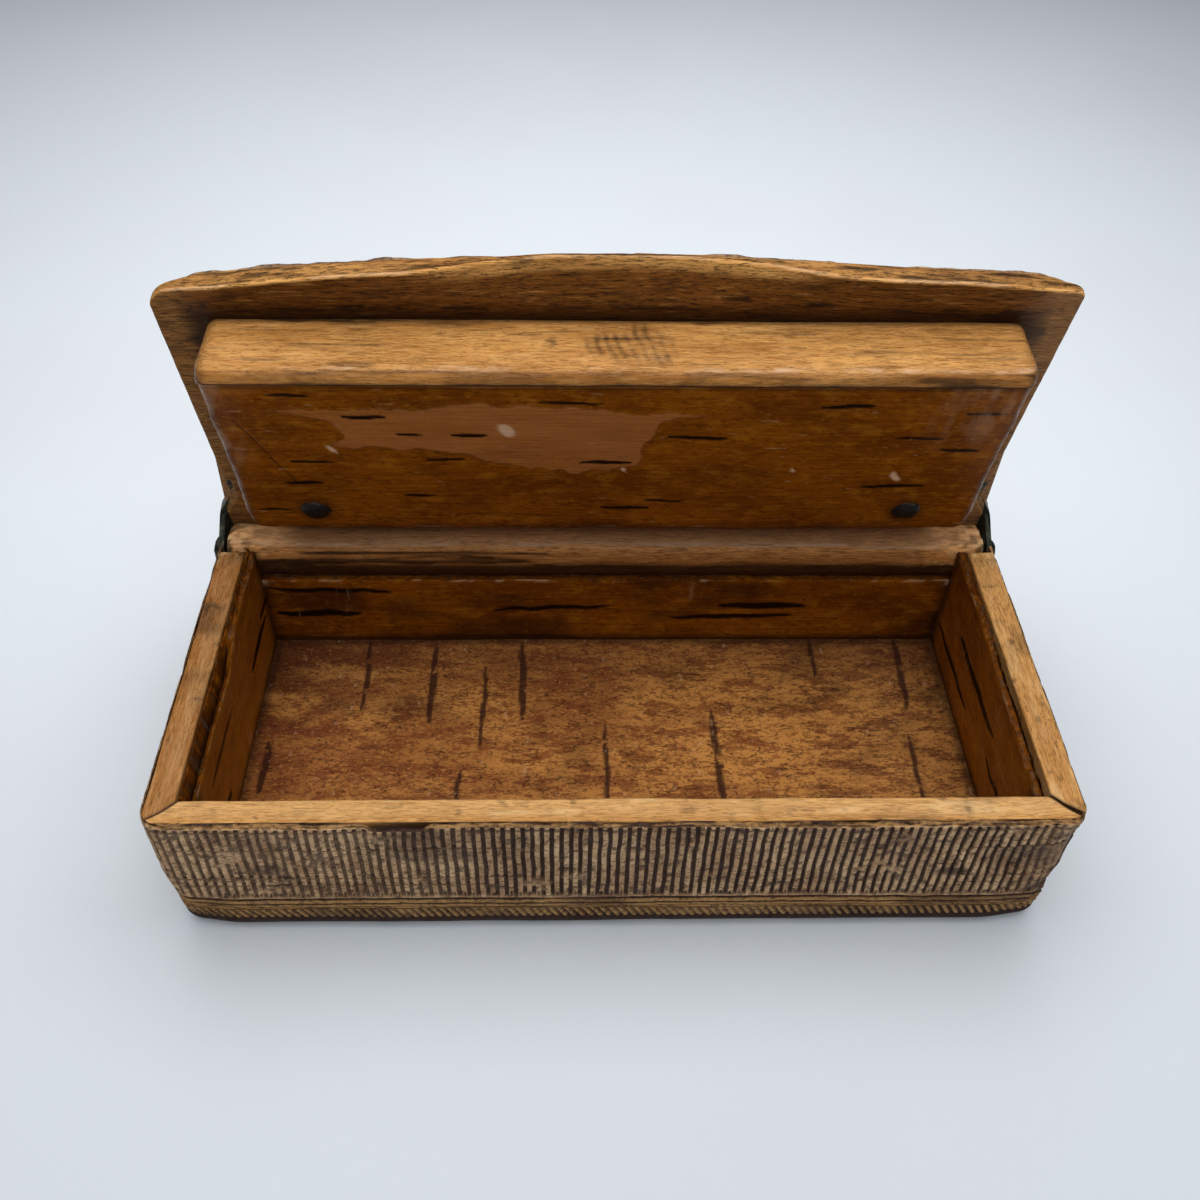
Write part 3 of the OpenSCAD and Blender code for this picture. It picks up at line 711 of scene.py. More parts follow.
def make_end_wall(side, node, s, radius):
    """An end wall: mitred in front, its rim stopping at the rail and coped round it."""
    low = corners(node)[0][2]
    cope = RAIL_R + 0.05
    across, height = board_outline(
        WALL_T, low, RIM_Z, s["arris"], 0.5 * s["arris"], (SEAT_Z - 0.01, SEAT_Z + 0.01)
    )
    open_mitre = 0.55 if side > 0 else 0.06
    outer_rim = ease(RIM_Z - 1.6, RIM_Z - 0.5, height) * ease(1.0, WALL_T, across)
    start = INNER_FRONT - across + open_mitre
    hollow = np.sqrt(np.clip(cope ** 2 - (height - AXIS[2]) ** 2, 0, None))
    rim_end = min(RIM_END, AXIS[1])
    stop = np.where(height < SEAT_Z, WOOD_HALF[1], np.minimum(AXIS[1] - hollow, rim_end))
    t = span(0, 1, 1 / 150)[:, None]
    y = start + t * (stop - start)
    ends = stop - y
    chewed = ease(3.5, 0.3, ends) * ease(-0.2, 0.9, weathered(pair(across + 0 * y, y), (0.9, 1.1, 1), 26))
    drop = (fall(ends, 1.4) + 0.7 * chewed) * ease(RIM_Z - 3, RIM_Z, height) * (height > SEAT_Z)
    x = side * (INNER_X + across + (0.6 if side < 0 else 0.7) * outer_rim + 0 * y)
    points = np.stack([x, y, height - drop], axis=-1)
    points = clip_corner(points, WOOD_HALF + (0.7, 0.1), radius)
    points = tucked(points, across / WALL_T, s)
    torn_end = ease(4.5, 0.0, ends) * ease(-0.5, 0.6, weathered(points, 1.3, 25))
    stain = rim_stain(points, np.broadcast_to(across, y.shape), 21 + side)
    # Painted shade: the mitre face in front darkened.
    stain = np.maximum(stain, 0.85 * ease(0.012, 0.0, t))
    stain = np.maximum(stain, 0.7 * torn_end)
    pale = ease(3.5, 0.0, ends) * ease(0.15, 0.6, weathered(points, 1.1, 27)) * (1 - torn_end)
    worn = 0.8 * pale + (0.15 if side < 0 else 0.5) * ease(-0.4, 0.8, weathered(points, (1, 6, 1), 28))
    aged = (0.9 if side < 0 else 0.15) + 0.2 * weathered(points, (2, 7, 2), 29)
    worn = np.clip(worn, 0, 0.85)
    wall = piece(node + "_board", [shell(
        points, points[..., [1, 0, 2]], stain=stain, wear=worn, snuff=np.clip(aged, 0, 0.9)
    )])
    roughen(wall, (2, 9, 2), s["plane_marks"], 23 + side)
    fit(wall, "box", [node], clean_birch())


def make_rail():
    s = sizes()
    half = RAIL_HIGH[0] + 0.7
    seat = math.asin((AXIS[2] - SEAT_Z) / RAIL_R)
    theta = np.linspace(-seat, math.pi + seat, 84)
    x = span(-half, half, 0.35, 0.8)[:, None]
    end = half - np.abs(x)
    places = grid(x, 3 * np.cos(theta), 3 * np.sin(theta))
    worn = -0.1 * ease(0.1, 0.9, uneven(places, (14, 3, 3), 31))
    rough = np.where(x < 0, 1.0, 0.7) * np.exp(-end / 2.8) * weathered(places, (1.4, 1.6, 1.6), 32)
    knob = 0.25 * ease(2.0, 0.6, np.hypot(x + half - 2.2, 2.8 * (theta - 0.75)))
    radius = RAIL_R - 0.06 - fall(end, 0.8) + worn + np.minimum(rough, 0.05) + knob
    points = np.stack([
        np.broadcast_to(x, radius.shape), AXIS[1] - radius * np.cos(theta), AXIS[2] + radius * np.sin(theta)
    ], axis=-1)
    streak = 0.7 * ease(0.3, 0.7, weathered(places, (16, 0.7, 0.7), 33)) * ease(0.6, 0.25, np.abs(theta - 0.3))
    groove = ease(0.07, 0.02, np.abs(theta - 0.62 - 0.05 * uneven(places, (9, 9, 9), 38)))
    streak = np.maximum(streak, 0.85 * groove * ease(-0.5, 0.1, uneven(places, (7, 9, 9), 39)) * (x < -8))
    # Painted shadow: darker along the underside, where the rail meets the lining.
    seam = 0.88 * ease(0.38, 0.0, theta + 0.12 * uneven(places, (11, 9, 9), 30))
    ends = 0.85 * np.exp(-end / 5.0) * ease(-0.1, 0.35, weathered(places, (1.2, 0.7, 0.7), 34))
    # Painted light: the crown painted paler, with a painted highlight band just in front of it.
    band = ease(0.7, 0.88, theta) * ease(1.15, 0.95, theta)
    pale = 0.3 * ease(0.75, 1.0, theta) + 0.65 * band * ease(-0.2, 0.4, weathered(places, (5, 0.22, 0.22), 35))
    fibres = 0.8 * np.exp(-end / 4.0) * ease(0.1, 0.4, weathered(places, (1.1, 0.4, 0.4), 37))
    # Painted light: the crown lightened a little more.
    fibres += 0.06 * ease(0.8, 1.05, theta)
    grain = 0.28 * ease(0.25, 0.7, weathered(places, (4, 0.18, 0.18), 40))
    stain = np.clip(streak + seam + ends + grain, 0, 0.92)
    # Painted shade: the lower front darkened, carried by the snuff mark.
    shade = 0.65 * ease(0.85, 0.4, theta) + 0 * x
    rail = piece("hinge_rail_wood", [shell(
        points, points,
        stain=stain, snuff=shade, wear=np.clip(fibres, 0, 1), gleam=np.clip(pale, 0, 0.95) * (1 - stain),
    )])
    roughen(rail, (6, 1.2, 1.2), 0.6 * s["plane_marks"], 36)
    fit(rail, "box", ["hinge_rail"], rail_birch())


def wrap_length(s):
    """Length round the cladding, from the seam at the right front corner and back to it."""
    straight = 2 * (BARK_HALF.sum() * 2 - 4 * s["corner_round"])
    return straight + 2 * math.pi * s["corner_round"]


def round_box(run, out, s):
    """Plan of a point at a run round the cladding from the seam, and out from its outer face."""
    radius = s["corner_round"]
    cx, cy = BARK_HALF - radius
    quarter = math.pi * radius / 2
    legs = [
        ("turn", quarter / 2, (cx, -cy), -math.pi / 4), ("line", 2 * cy, (cx, -cy), 0.0),
        ("turn", quarter, (cx, cy), 0.0), ("line", 2 * cx, (cx, cy), math.pi / 2),
        ("turn", quarter, (-cx, cy), math.pi / 2), ("line", 2 * cy, (-cx, cy), math.pi),
        ("turn", quarter, (-cx, -cy), math.pi), ("line", 2 * cx, (-cx, -cy), 1.5 * math.pi),
        ("turn", quarter / 2, (cx, -cy), 1.5 * math.pi),
    ]
    x, y = np.zeros(run.shape), np.zeros(run.shape)
    start = 0.0
    for k, (kind, size, (px, py), angle) in enumerate(legs):
        last = k == len(legs) - 1
        here = (run >= start if k else run > -1e9) & ((run < start + size) | last)
        along = run - start
        face = angle + (along / radius if kind == "turn" else 0.0)
        ahead = along if kind == "line" else 0.0
        x = np.where(here, px + (radius + out) * np.cos(face) - ahead * np.sin(face), x)
        y = np.where(here, py + (radius + out) * np.sin(face) + ahead * np.cos(face), y)
        start += size
    return x, y


def make_cladding():
    s = sizes()
    total = wrap_length(s)
    count = round(total / s["rib_pitch"])
    pitch = total / count
    run = ((np.arange(count)[:, None] + [0.03, 0.27, 0.51, 0.6, 0.94]) * pitch).ravel()[:, None]
    raised = np.tile([1.0, 1.0, 1.0, 0.0, 0.0], count)[:, None]
    heart = np.tile([0.0, 1.0, 0.0, 0.0, 0.0], count)[:, None]
    lines = (16.2, 10.7, 9.25)
    courses = ((4.55, 0.17), (5.3, 0.16), (6.3, 0.25))
    rows = [BARK_LOW[2], 4.76, 4.84, 6.65, 6.8]
    rows += [q + d for q, w in courses[1:] for d in (-w - 0.08, -w, w, w + 0.08)]
    rows += [q + d for q in lines for d in (-0.16, 0.0, 0.16)] + [19.6, 19.8, RIM_Z]
    rows = np.sort(np.concatenate([rows, np.arange(7.0, 19.5, 0.36)]))
    flat = pair(run, np.zeros(run.shape))
    rag = s["ragged"]
    x0, y0 = round_box(run, np.zeros(run.shape), s)
    x1 = round_box(run, np.ones(run.shape), s)[0]
    notched = y0 > AXIS[1] - 2.7
    missing = ease(3.6, 2.4, np.abs(x0 + 23)) * (y0 < 0)
    chewed = RIM_Z - 0.3 * rag * ease(0.1, 0.8, weathered(flat, 5, 41)) - 1.3 * rag * missing
    top = np.where(notched, SEAT_Z, chewed)
    keep = 9.0
    z = np.where(rows > keep, keep + (rows - keep) * (top - keep) / (RIM_Z - keep), rows)
    places = grid(run, 0 * run, rows)
    gap = np.minimum(run, total - run)
    torn = ease(6.0, 0.5, gap)
    lean = 0.2 * uneven(places, (9, 1, 14), 42) + 0.08 * uneven(places, (1.3, 1, 2.5), 43)
    deep = np.clip(0.85 + 0.35 * uneven(places, (2.3, 1, 5), 44), 0.3, 1.1)
    bare = ease(0.75, 1.1, weathered(places, (4, 1, 2.6), 45))
    rib_top = RIM_Z - 0.7 * (x1 - x0) ** 2
    ribbed = ease(6.6, 6.9, rows) * np.clip((rib_top - rows) / 0.25, 0, 1)
    shallow = ease(-6.0, -30.0, x0) * (y0 < 0)
    groove = (1 - raised) * ribbed * (1 - 0.75 * bare) * (1 - 0.7 * torn) * (1 - 0.25 * shallow)
    nick = raised * ribbed * ease(0.4, 0.75, weathered(places, (0.9, 1, 0.6), 56))
    fork = heart * ribbed * ease(7.8, 7.3, rows) * (uneven(pair(7 * (run // pitch), 0 * run), 5, 57) > -0.2)
    scores = sum(ease(0.13, 0.02, np.abs(rows - q - 0.12 * uneven(places, (20, 1, 50), 46))) for q in lines)
    scores = scores * ease(-0.3, 0.2, uneven(places, (12, 1, 50), 47))
    course = sum(ease(w + 0.08, w, np.abs(rows - q)) for q, w in courses)
    course = course * ease(-0.95, -0.6, uneven(places, (7, 1, 0.5), 58))
    wave = 0.16 * uneven(places, (14, 1, 9), 48) + 0.05 * weathered(places, (1.5, 1, 1), 49)
    curl = torn * (0.4 * uneven(places, (2.6, 1, 2.8), 50) - 0.15)
    out = wave + curl - s["rib_depth"] * groove * deep - 0.14 * nick - 0.25 * fork
    out = out - s["score_depth"] * np.clip(scores + course, 0, 1)
    right_end = ease(11.0, 7.5, total - run) * (y0 < 0)
    layer = rows - 16.1 - 0.35 * uneven(places, (2.5, 1, 50), 55)
    lost = right_end * ease(0.1, -0.1, layer) * ease(10.5, 13.0, rows)
    tear = right_end * ease(0.4, 0.05, np.abs(layer))
    out = np.minimum(out - 0.35 * lost, 0.08) - 0.15 * ease(RIM_Z - 0.25, RIM_Z, rows)
    pressed = 0.18 * ease(AXIS[1] - 7.0, AXIS[1] - 4.0, y0) * (np.abs(x0) > WOOD_HALF[0])
    out = out - pressed - drawn_in(grid(x0, y0, z), s)
    ragged_seam = np.abs(uneven(places, (50, 1, 3.0), 51)) * torn * rag * 0.7 * ease(3, 0, gap)
    shift = np.where(run < total / 2, ragged_seam, -ragged_seam) + pitch * lean * ease(0, 4, gap)
    x, y = round_box(run + shift, out, s)
    face = np.stack([x, y, z], axis=-1)
    edge, edge_dark = [], []
    thin = BARK_T + 0.02 - 0.67 * (x1 - x0) ** 2
    for k, share in enumerate((0.25, 0.45, 0.65, 0.85, 1.0)):
        ex, ey = round_box(run, -share * thin, s)
        chip = np.clip(0.35 * weathered(flat, (1.6, 1, 1), 300 + 7 * k), 0, 0.35)
        edge.append(np.stack([ex, ey, top - chip], axis=-1))
        edge_dark.append(0.25 + 0.7 * ease(-0.1, 0.35, weathered(flat, (2.4, 1, 1), 340 + 7 * k)))
    edge_dark[-1] = 0 * run + 0.95
    low_in = np.stack([x0, y0, np.full(run.shape, BARK_LOW[2])], axis=-1)
    ix, iy = round_box(run, 0.03 - BARK_T - drawn_in(low_in, s), s)
    inner = np.stack([ix, iy, np.full(run.shape, BARK_LOW[2])], axis=-1)
    rings = chain(face, *edge, inner)
    smear = 0.5 * ease(0.3, 0.8, weathered(places, (9, 1, 5), 53))
    smear = smear + 0.8 * torn * ease(-0.4, 0.5, weathered(places, 2, 54))
    blotch = ease(1.1, 0.5, np.hypot((x0 - 37) / 2.0, (rows - 11.4) / 1.1) + 0.3 * weathered(places, 1.2, 60))
    smear = smear + 0.9 * tear + 0.35 * lost + 0.8 * blotch * (y0 < 0)
    hem = 0.75 * ease(0.32, 0.1, np.abs(rows - 19.55)) * ease(-0.5, 0.1, uneven(places, (4, 1, 50), 69))
    hem = hem * (1 - notched)
    dark = np.clip(0.95 * groove + 0.7 * nick + 0.8 * fork + 0.9 * scores + 0.97 * course + hem, 0, 0.97)
    rim_dark = np.maximum(chain(*edge_dark, 0 * run), 0.97 * missing)
    level = np.concatenate([rows, np.full(6, RIM_Z)])
    grain = grid(run, 0 * run, level)
    grain[..., 1] = np.concatenate([0 * rows, np.arange(6) * 0.3])
    bark = piece("outer_bark_ribbed", [shell(
        rings, grain,
        groove=chain(dark, 0 * rim_dark),
        stain=chain(np.clip(smear, 0, 0.85), rim_dark),
        wear=chain(0.8 * ease(6.7, 6.4, rows) + 0 * dark, 0 * rim_dark + 0.8),
    )])
    fit(bark, "box", ["outer_bark"], ribbed_bark())


def make_foot():
    s = sizes()
    total = wrap_length(s)
    count = round(total / s["rope_pitch"])
    pitch = total / count
    run = (np.arange(6 * count) * pitch / 6)[:, None]
    low, high = BAND_LOW[2], BAND_HIGH[2]
    rows = np.concatenate([np.linspace(low, 2.2, 8), np.linspace(2.4, 4.2, 13), [4.35, 4.45, high - 0.02]])
    places = grid(run, 0 * run, rows)
    slant = (run + 0.55 * (rows - 2.4) + 0.15 * uneven(places, (6, 1, 6), 61)) / pitch
    cut = np.abs((slant % 1) - 0.5) * 2
    rope = ease(2.3, 2.55, rows) * ease(4.3, 4.1, rows) * ease(-1.2, -0.9, uneven(places, (9, 1, 3), 65))
    groove = ease(0.35, 0.6, cut) * rope * np.clip(0.85 + 0.4 * uneven(places, (3, 1, 3), 62), 0.3, 1)
    line = ease(0.25, 0.12, np.abs(rows - 2.35)) + ease(0.2, 0.1, np.abs(rows - 4.4))
    x0, y0 = round_box(run, np.zeros(run.shape), s)
    inward = drawn_in(grid(x0, y0, rows), s)
    out = -fall(rows, FOOT_ROUND) - 0.34 * groove - 0.15 * line + 0.1 * weathered(places, (11, 1, 5), 63) - inward
    x, y = round_box(run, out, s)
    face = grid(x, y, rows)
    back = []
    for z, drawn in ((high - 0.02, inward[:, -1:]), (low, inward[:, :1])):
        bx, by = round_box(run, 0.03 - BARK_T - drawn, s)
        back.append(np.stack([bx, by, np.full(run.shape, z)], axis=-1))
    rings = chain(face, *back)
    # Painted shade: the rows below the rope, at the foot's lower edge, darkened through the groove mark.
    dark = np.clip(0.97 * groove + 0.95 * line + 0.97 * ease(2.4, 2.2, rows), 0, 0.97)
    smear = 0.4 * ease(0.3, 0.9, weathered(places, (8, 1, 3), 64))
    # Painted shade: patchy darkening towards the foot's lower edge.
    painted_foot_shade = 0.85 * ease(2.5, 1.7, rows) * ease(-1.2, -0.4, weathered(places, (5, 1, 2), 66))
    pad = np.zeros((len(run), 2))
    grain = grid(run, 0 * run, np.concatenate([rows, [high, low]]))
    band = piece("base_band_rope", [shell(
        rings, grain, True,
        groove=chain(np.broadcast_to(dark, smear.shape), pad),
        stain=chain(np.clip(smear + painted_foot_shade, 0, 0.85), pad),
        wear=chain(0.75 + 0 * smear, pad),
    )])
    fit(band, "box", ["base_band"], ribbed_bark())
    around = np.arange(0, total, 0.8)
    x0, y0 = round_box(around, 0 * around, s)
    levels = []
    for z in (low, 0.75 * low, 0.5 * low, 0.25 * low, 0.0):
        outline = np.stack([x0, y0, 0 * around + z], axis=-1)
        bx, by = round_box(around, -fall(z, FOOT_ROUND) - drawn_in(outline, s), s)
        levels.append(np.stack([bx, by, 0 * around + z], axis=-1))
    rings = np.array(levels)
    dirt = 0.5 + 0.4 * weathered(rings, 4, 67)
    sheet = piece("base_sheet_bark", [shell(rings, rings, stain=np.clip(dirt, 0, 0.9))])
    fit(sheet, "box", ["base_sheet"], ribbed_bark())
    board = frame["nodes"]["bottom_board"].data
    board.materials.clear()
    board.materials.append(clean_birch())


LININGS = {
    "back_lining": (
        (0, -1), [(-37, 12.2, 16.5), (-39, 7.8, 11.5), (-7.5, 8.9, 16), (21, 9.2, 12), (17, 7.2, 17)], (0,) * 6, 0.0
    ),
    "front_lining": ((0, 1), [(-30, 11, 14), (4, 14, 12), (12, 6.5, 17), (33, 10, 9)], (0,) * 6, 0.0),
    "left_lining": (
        (1, 0), [(16, 11, 5), (11, 9.4, 10), (-9, 13.5, 12), (-14, 6.5, 8)], (0, -0.4, -1.6, -0.1, 0.5, 0.45), 0.8
    ),
    "right_lining": ((-1, 0), [(9, 7.3, 16), (1, 12.4, 17), (-12, 8.5, 9)], (0, 0.05, 0, -0.3, -1.6, -0.6), 0.3),
}


def make_linings():
    s = sizes()
    for k, (node, (face, marks, steps, peel)) in enumerate(LININGS.items()):
        make_lining(node, face, marks, steps, peel, s, 70 + 10 * k)


def make_lining(node, face, marks, steps, peel, s, seed):
    """A bark sheet against a wall: smooth in front, dark where it meets its neighbours, and split along its
    ragged top, with painted shade down in the split."""
    low, high = corners(node)
    axis = 0 if face[1] else 1
    thick = (high - low)[1 - axis]
    along = span(low[axis], high[axis], 0.22)[:, None]
    share = span(0, 1, 0.25 / (high[2] - low[2]))
    flat = pair(along, 0 * along)
    under_rail = node == "back_lining"
    rag = s["ragged"] * (0.35 if under_rail else 1.0)
    top = high[2] - rag * (0.3 + 0.35 * weathered(flat, 3.0, seed))
    height = low[2] + share * (top - low[2])
    sheet = pair(along, height)
    lens = dashes(along, height, marks, s["lenticel"] * 2.4, seed + 1)
    bow = 0.07 * uneven(sheet, (12, 6, 1), seed + 2) + 0.02 * weathered(sheet, 1.5, seed + 3) - 0.03 * lens
    lean = peel * ease(6.0, -4.0, along) * ease(7.0, 0.0, top - height)
    depth = np.minimum(bow - 0.3 * fall(top - height, 0.4), 0.12) + lean
    edge_in = np.array([0.12, 0.3, 0.45, 0.6, 0.8, 0.97]) * thick
    split = np.array(steps) * np.where(np.array(steps) < 0, ease(4.0, -2.0, along), 1.0)
    crumbs = weathered(pair(along, edge_in), (0.6, 0.25, 1), seed + 4)
    edge_z = np.minimum(top + split + 0.3 * rag * crumbs, high[2] if under_rail else RIM_Z)
    back_z = chain(edge_z[:, -1:] - 0.1, 0 * top + low[2])
    spread = edge_in - lean[:, -1:] * ease(0.6, 0.1, edge_in / thick)
    behind = chain(-depth, spread + 0 * edge_z, 0 * back_z + thick)
    level = chain(height, edge_z, back_z)
    front = (high if sum(face) > 0 else low)[1 - axis]
    rings = np.empty((*level.shape, 3))
    rings[..., axis] = along
    rings[..., 1 - axis] = front - sum(face) * behind
    rings[..., 2] = level
    ends = np.minimum(along - low[axis], high[axis] - along)
    corner_dirt = 0.7 * ease(2.5, 0.2, ends) + 0.7 * ease(1.6, 0.1, height - low[2])
    clouds = (0.05 + 0.4 * under_rail) * ease(0.0, 0.8, weathered(sheet, (9, 5, 1), seed + 5)) + 0.15 * under_rail
    lip = ease(0.4, 0.05, top - height)
    chips = 0.45 * lip * ease(0.2, 0.7, weathered(sheet, (1.8, 0.5, 1), seed + 6))
    tuft = ease(1.6, 0.4, top - height) * ease(2.2, 0.6, ends) * ease(-0.3, 0.3, weathered(sheet, 0.8, seed + 12))
    chips = chips + 0.6 * tuft * under_rail
    scratches = 0.12 * ease(0.5, 0.9, weathered(sheet, (0.4, 4, 1), seed + 7))
    scratches = scratches * ease(0.2, 0.6, uneven(sheet, 6, seed + 9))
    strip = 0.25 * ease(2.8, 1.8, top - height + 0.5 * weathered(sheet, (3, 1.2, 1), seed + 8)) * (peel > 0)
    strip = strip * np.clip(0.8 + 0.5 * weathered(sheet, (1.2, 0.6, 1), seed + 11), 0, 1)
    dirt = np.clip(corner_dirt + clouds + strip, 0, 0.85)
    red = 0.22 * (peel > 0) * ease(-0.3, 0.7, weathered(sheet, (4, 2.5, 1), seed + 13))
    glow = 0.8 * peel * np.clip(0.7 + 0.4 * weathered(sheet, (3, 2, 1), seed + 14), 0, 1) + 0 * lens
    # Dark crumbs, and painted shade where the split steps down.
    crumb_dirt_and_split_shade = np.clip(0.5 + 0.4 * crumbs + 0.6 * ease(-0.3, -0.8, split), 0, 0.95)
    pad = np.zeros((len(along), 2))
    grain = grid(along, behind, level)
    made = piece(node + "_bark", [shell(
        rings, grain,
        lenticel=chain(lens, 0 * edge_z, pad),
        glow=chain(glow, 0 * edge_z, pad),
        paper=chain(red, 0 * edge_z, pad),
        stain=chain(dirt, crumb_dirt_and_split_shade, pad + 0.6),
        wear=chain(np.clip(chips + scratches, 0, 0.7), 0.1 * ease(0.6, 1.0, crumbs), pad),
    )])
    fit(made, "box", [node], amber_bark())


FLOOR_DASHES = [
    (11.5, -32.5, 13), (10.5, -23.5, 15), (6, -16.5, 14), (10.5, -11.5, 14), (-4, -0.5, 14), (-3, 13.7, 16),
    (14.5, 28.3, 7), (11.5, 40, 13), (-5, 39, 12), (-4, -43.4, 8), (-7, -19, 6), (-15, 22, 8), (-16, -34, 9),
]


def make_floor():
    s = sizes()
    low, high = FLOOR_LOW, FLOOR_HIGH
    x = span(low[0], high[0], 0.25)[:, None]
    y = span(low[1], high[1], 0.25)
    flat = pair(x, y)
    lens = dashes(y, x, FLOOR_DASHES, 1.9 * s["lenticel"], 111)
    broken = 0.88 * lens * ease(-1.0, -0.3, weathered(flat, (1.0, 1.4, 1), 112))
    z = high[2] + 0.05 * weathered(flat, (10, 5, 1), 113) + 0.025 * weathered(flat, (1.2, 0.8, 1), 114)
    z = np.minimum(z - 0.04 * broken, high[2] + 0.09)
    wall = np.minimum(INNER_X - 1 - np.abs(x), np.minimum(y - low[1] - 1, high[1] - 1 - y))
    dirt = 0.5 * ease(1.5, 0.0, wall) + 0.25 * ease(0.3, 0.9, weathered(flat, (9, 6, 1), 115))
    # The stain mark holds dirt and painted shade. Painted shade: darker towards the back-left corner.
    dirt = dirt + 0.3 * ease(30.0, 0.0, np.hypot(x + 46, y - 19))
    red = 0.75 * ease(-18.0, -40.0, x + 0 * y) * ease(-14.0, 4.0, y)
    red = red * ease(-0.5, 0.4, weathered(flat, (6, 3, 1), 117)) + 0.4 * ease(8.0, 17.0, y)
    # Painted shadow of the lid: darker towards the back; also darker towards the right.
    dirt = dirt + 0.25 * ease(0.0, 17.0, y) + 0.27 * ease(18.0, 40.0, x)
    pale = 0.3 * ease(1.1, 1.25, weathered(flat, (0.45, 1.6, 1), 116))
    face = grid(x, y, z)
    back = grid(x, np.array([high[1], 0.0, low[1]]), low[2])
    rings = chain(face, back)
    pad = np.zeros((len(x), 3))
    made = piece("floor_lining_bark", [shell(
        rings, rings,
        lenticel=chain(broken, pad),
        snuff=chain(np.clip(red, 0, 0.85), pad),
        stain=chain(np.clip(dirt, 0, 0.75), pad),
        wear=chain(pale, pad),
    )])
    fit(made, "box", ["floor_lining"], floor_bark())


# The lid, drawn closed and measured from the hinge axis

def lid_front(x, inset, corner, s):
    """Front edge of the lid's plan: a bow with round corners, standing a little fuller at the right."""
    half, bow, corner = LID_HALF - inset, s["lid_bow"] - inset, corner - inset
    centre = LID_LOW[1] + s["lid_bow"]
    reach = half - corner
    cy = centre - np.sqrt((bow - corner) ** 2 - reach ** 2)
    join = reach + corner * reach / (bow - corner)
    side = np.clip(np.abs(x) - reach, 0, corner)
    edge = np.where(np.abs(x) < join, centre - np.sqrt(bow ** 2 - np.minimum(np.abs(x), join) ** 2),
                    cy - np.sqrt(corner ** 2 - side ** 2))
    return edge - 0.75 * ease(28.0, 47.0, x)


def lid_width(y):
    """Half width of the lid: let in for the strap's arm, then flaring along its crank."""
    let_in = STRAP_T - 0.05
    notch = let_in * ease(STRAP_LOW[1] - 0.15, STRAP_LOW[1] + 0.15, y)
    crank = (STRAP_HIGH[0] - LID_HALF) / (CRANK_START - CRANK_END)
    flare = np.clip(crank * (y - CRANK_END - 0.2), 0, STRAP_HIGH[0] - LID_HALF - 0.2)
    return LID_HALF - notch + flare


LID_STAINS = [
    (-47.4, -39.5, 1.6, 0.7), (-26, -41.5, 4.5, 0.8), (-43, -41.8, 0.4, 0.4), (-33, -41.2, 3, 0.35),
    (-38, -40.9, 2, 0.3), (42, -41.2, 2.4, 0.6), (45.2, -38.3, 1.3, 1.8), (44.6, -35.4, 1.1, 1.8),
    (14, -43, 4, 0.35), (21, -42.3, 2.5, 0.4), (35, -41.7, 3, 0.4), (-16, -41.6, 3, 0.3),
]


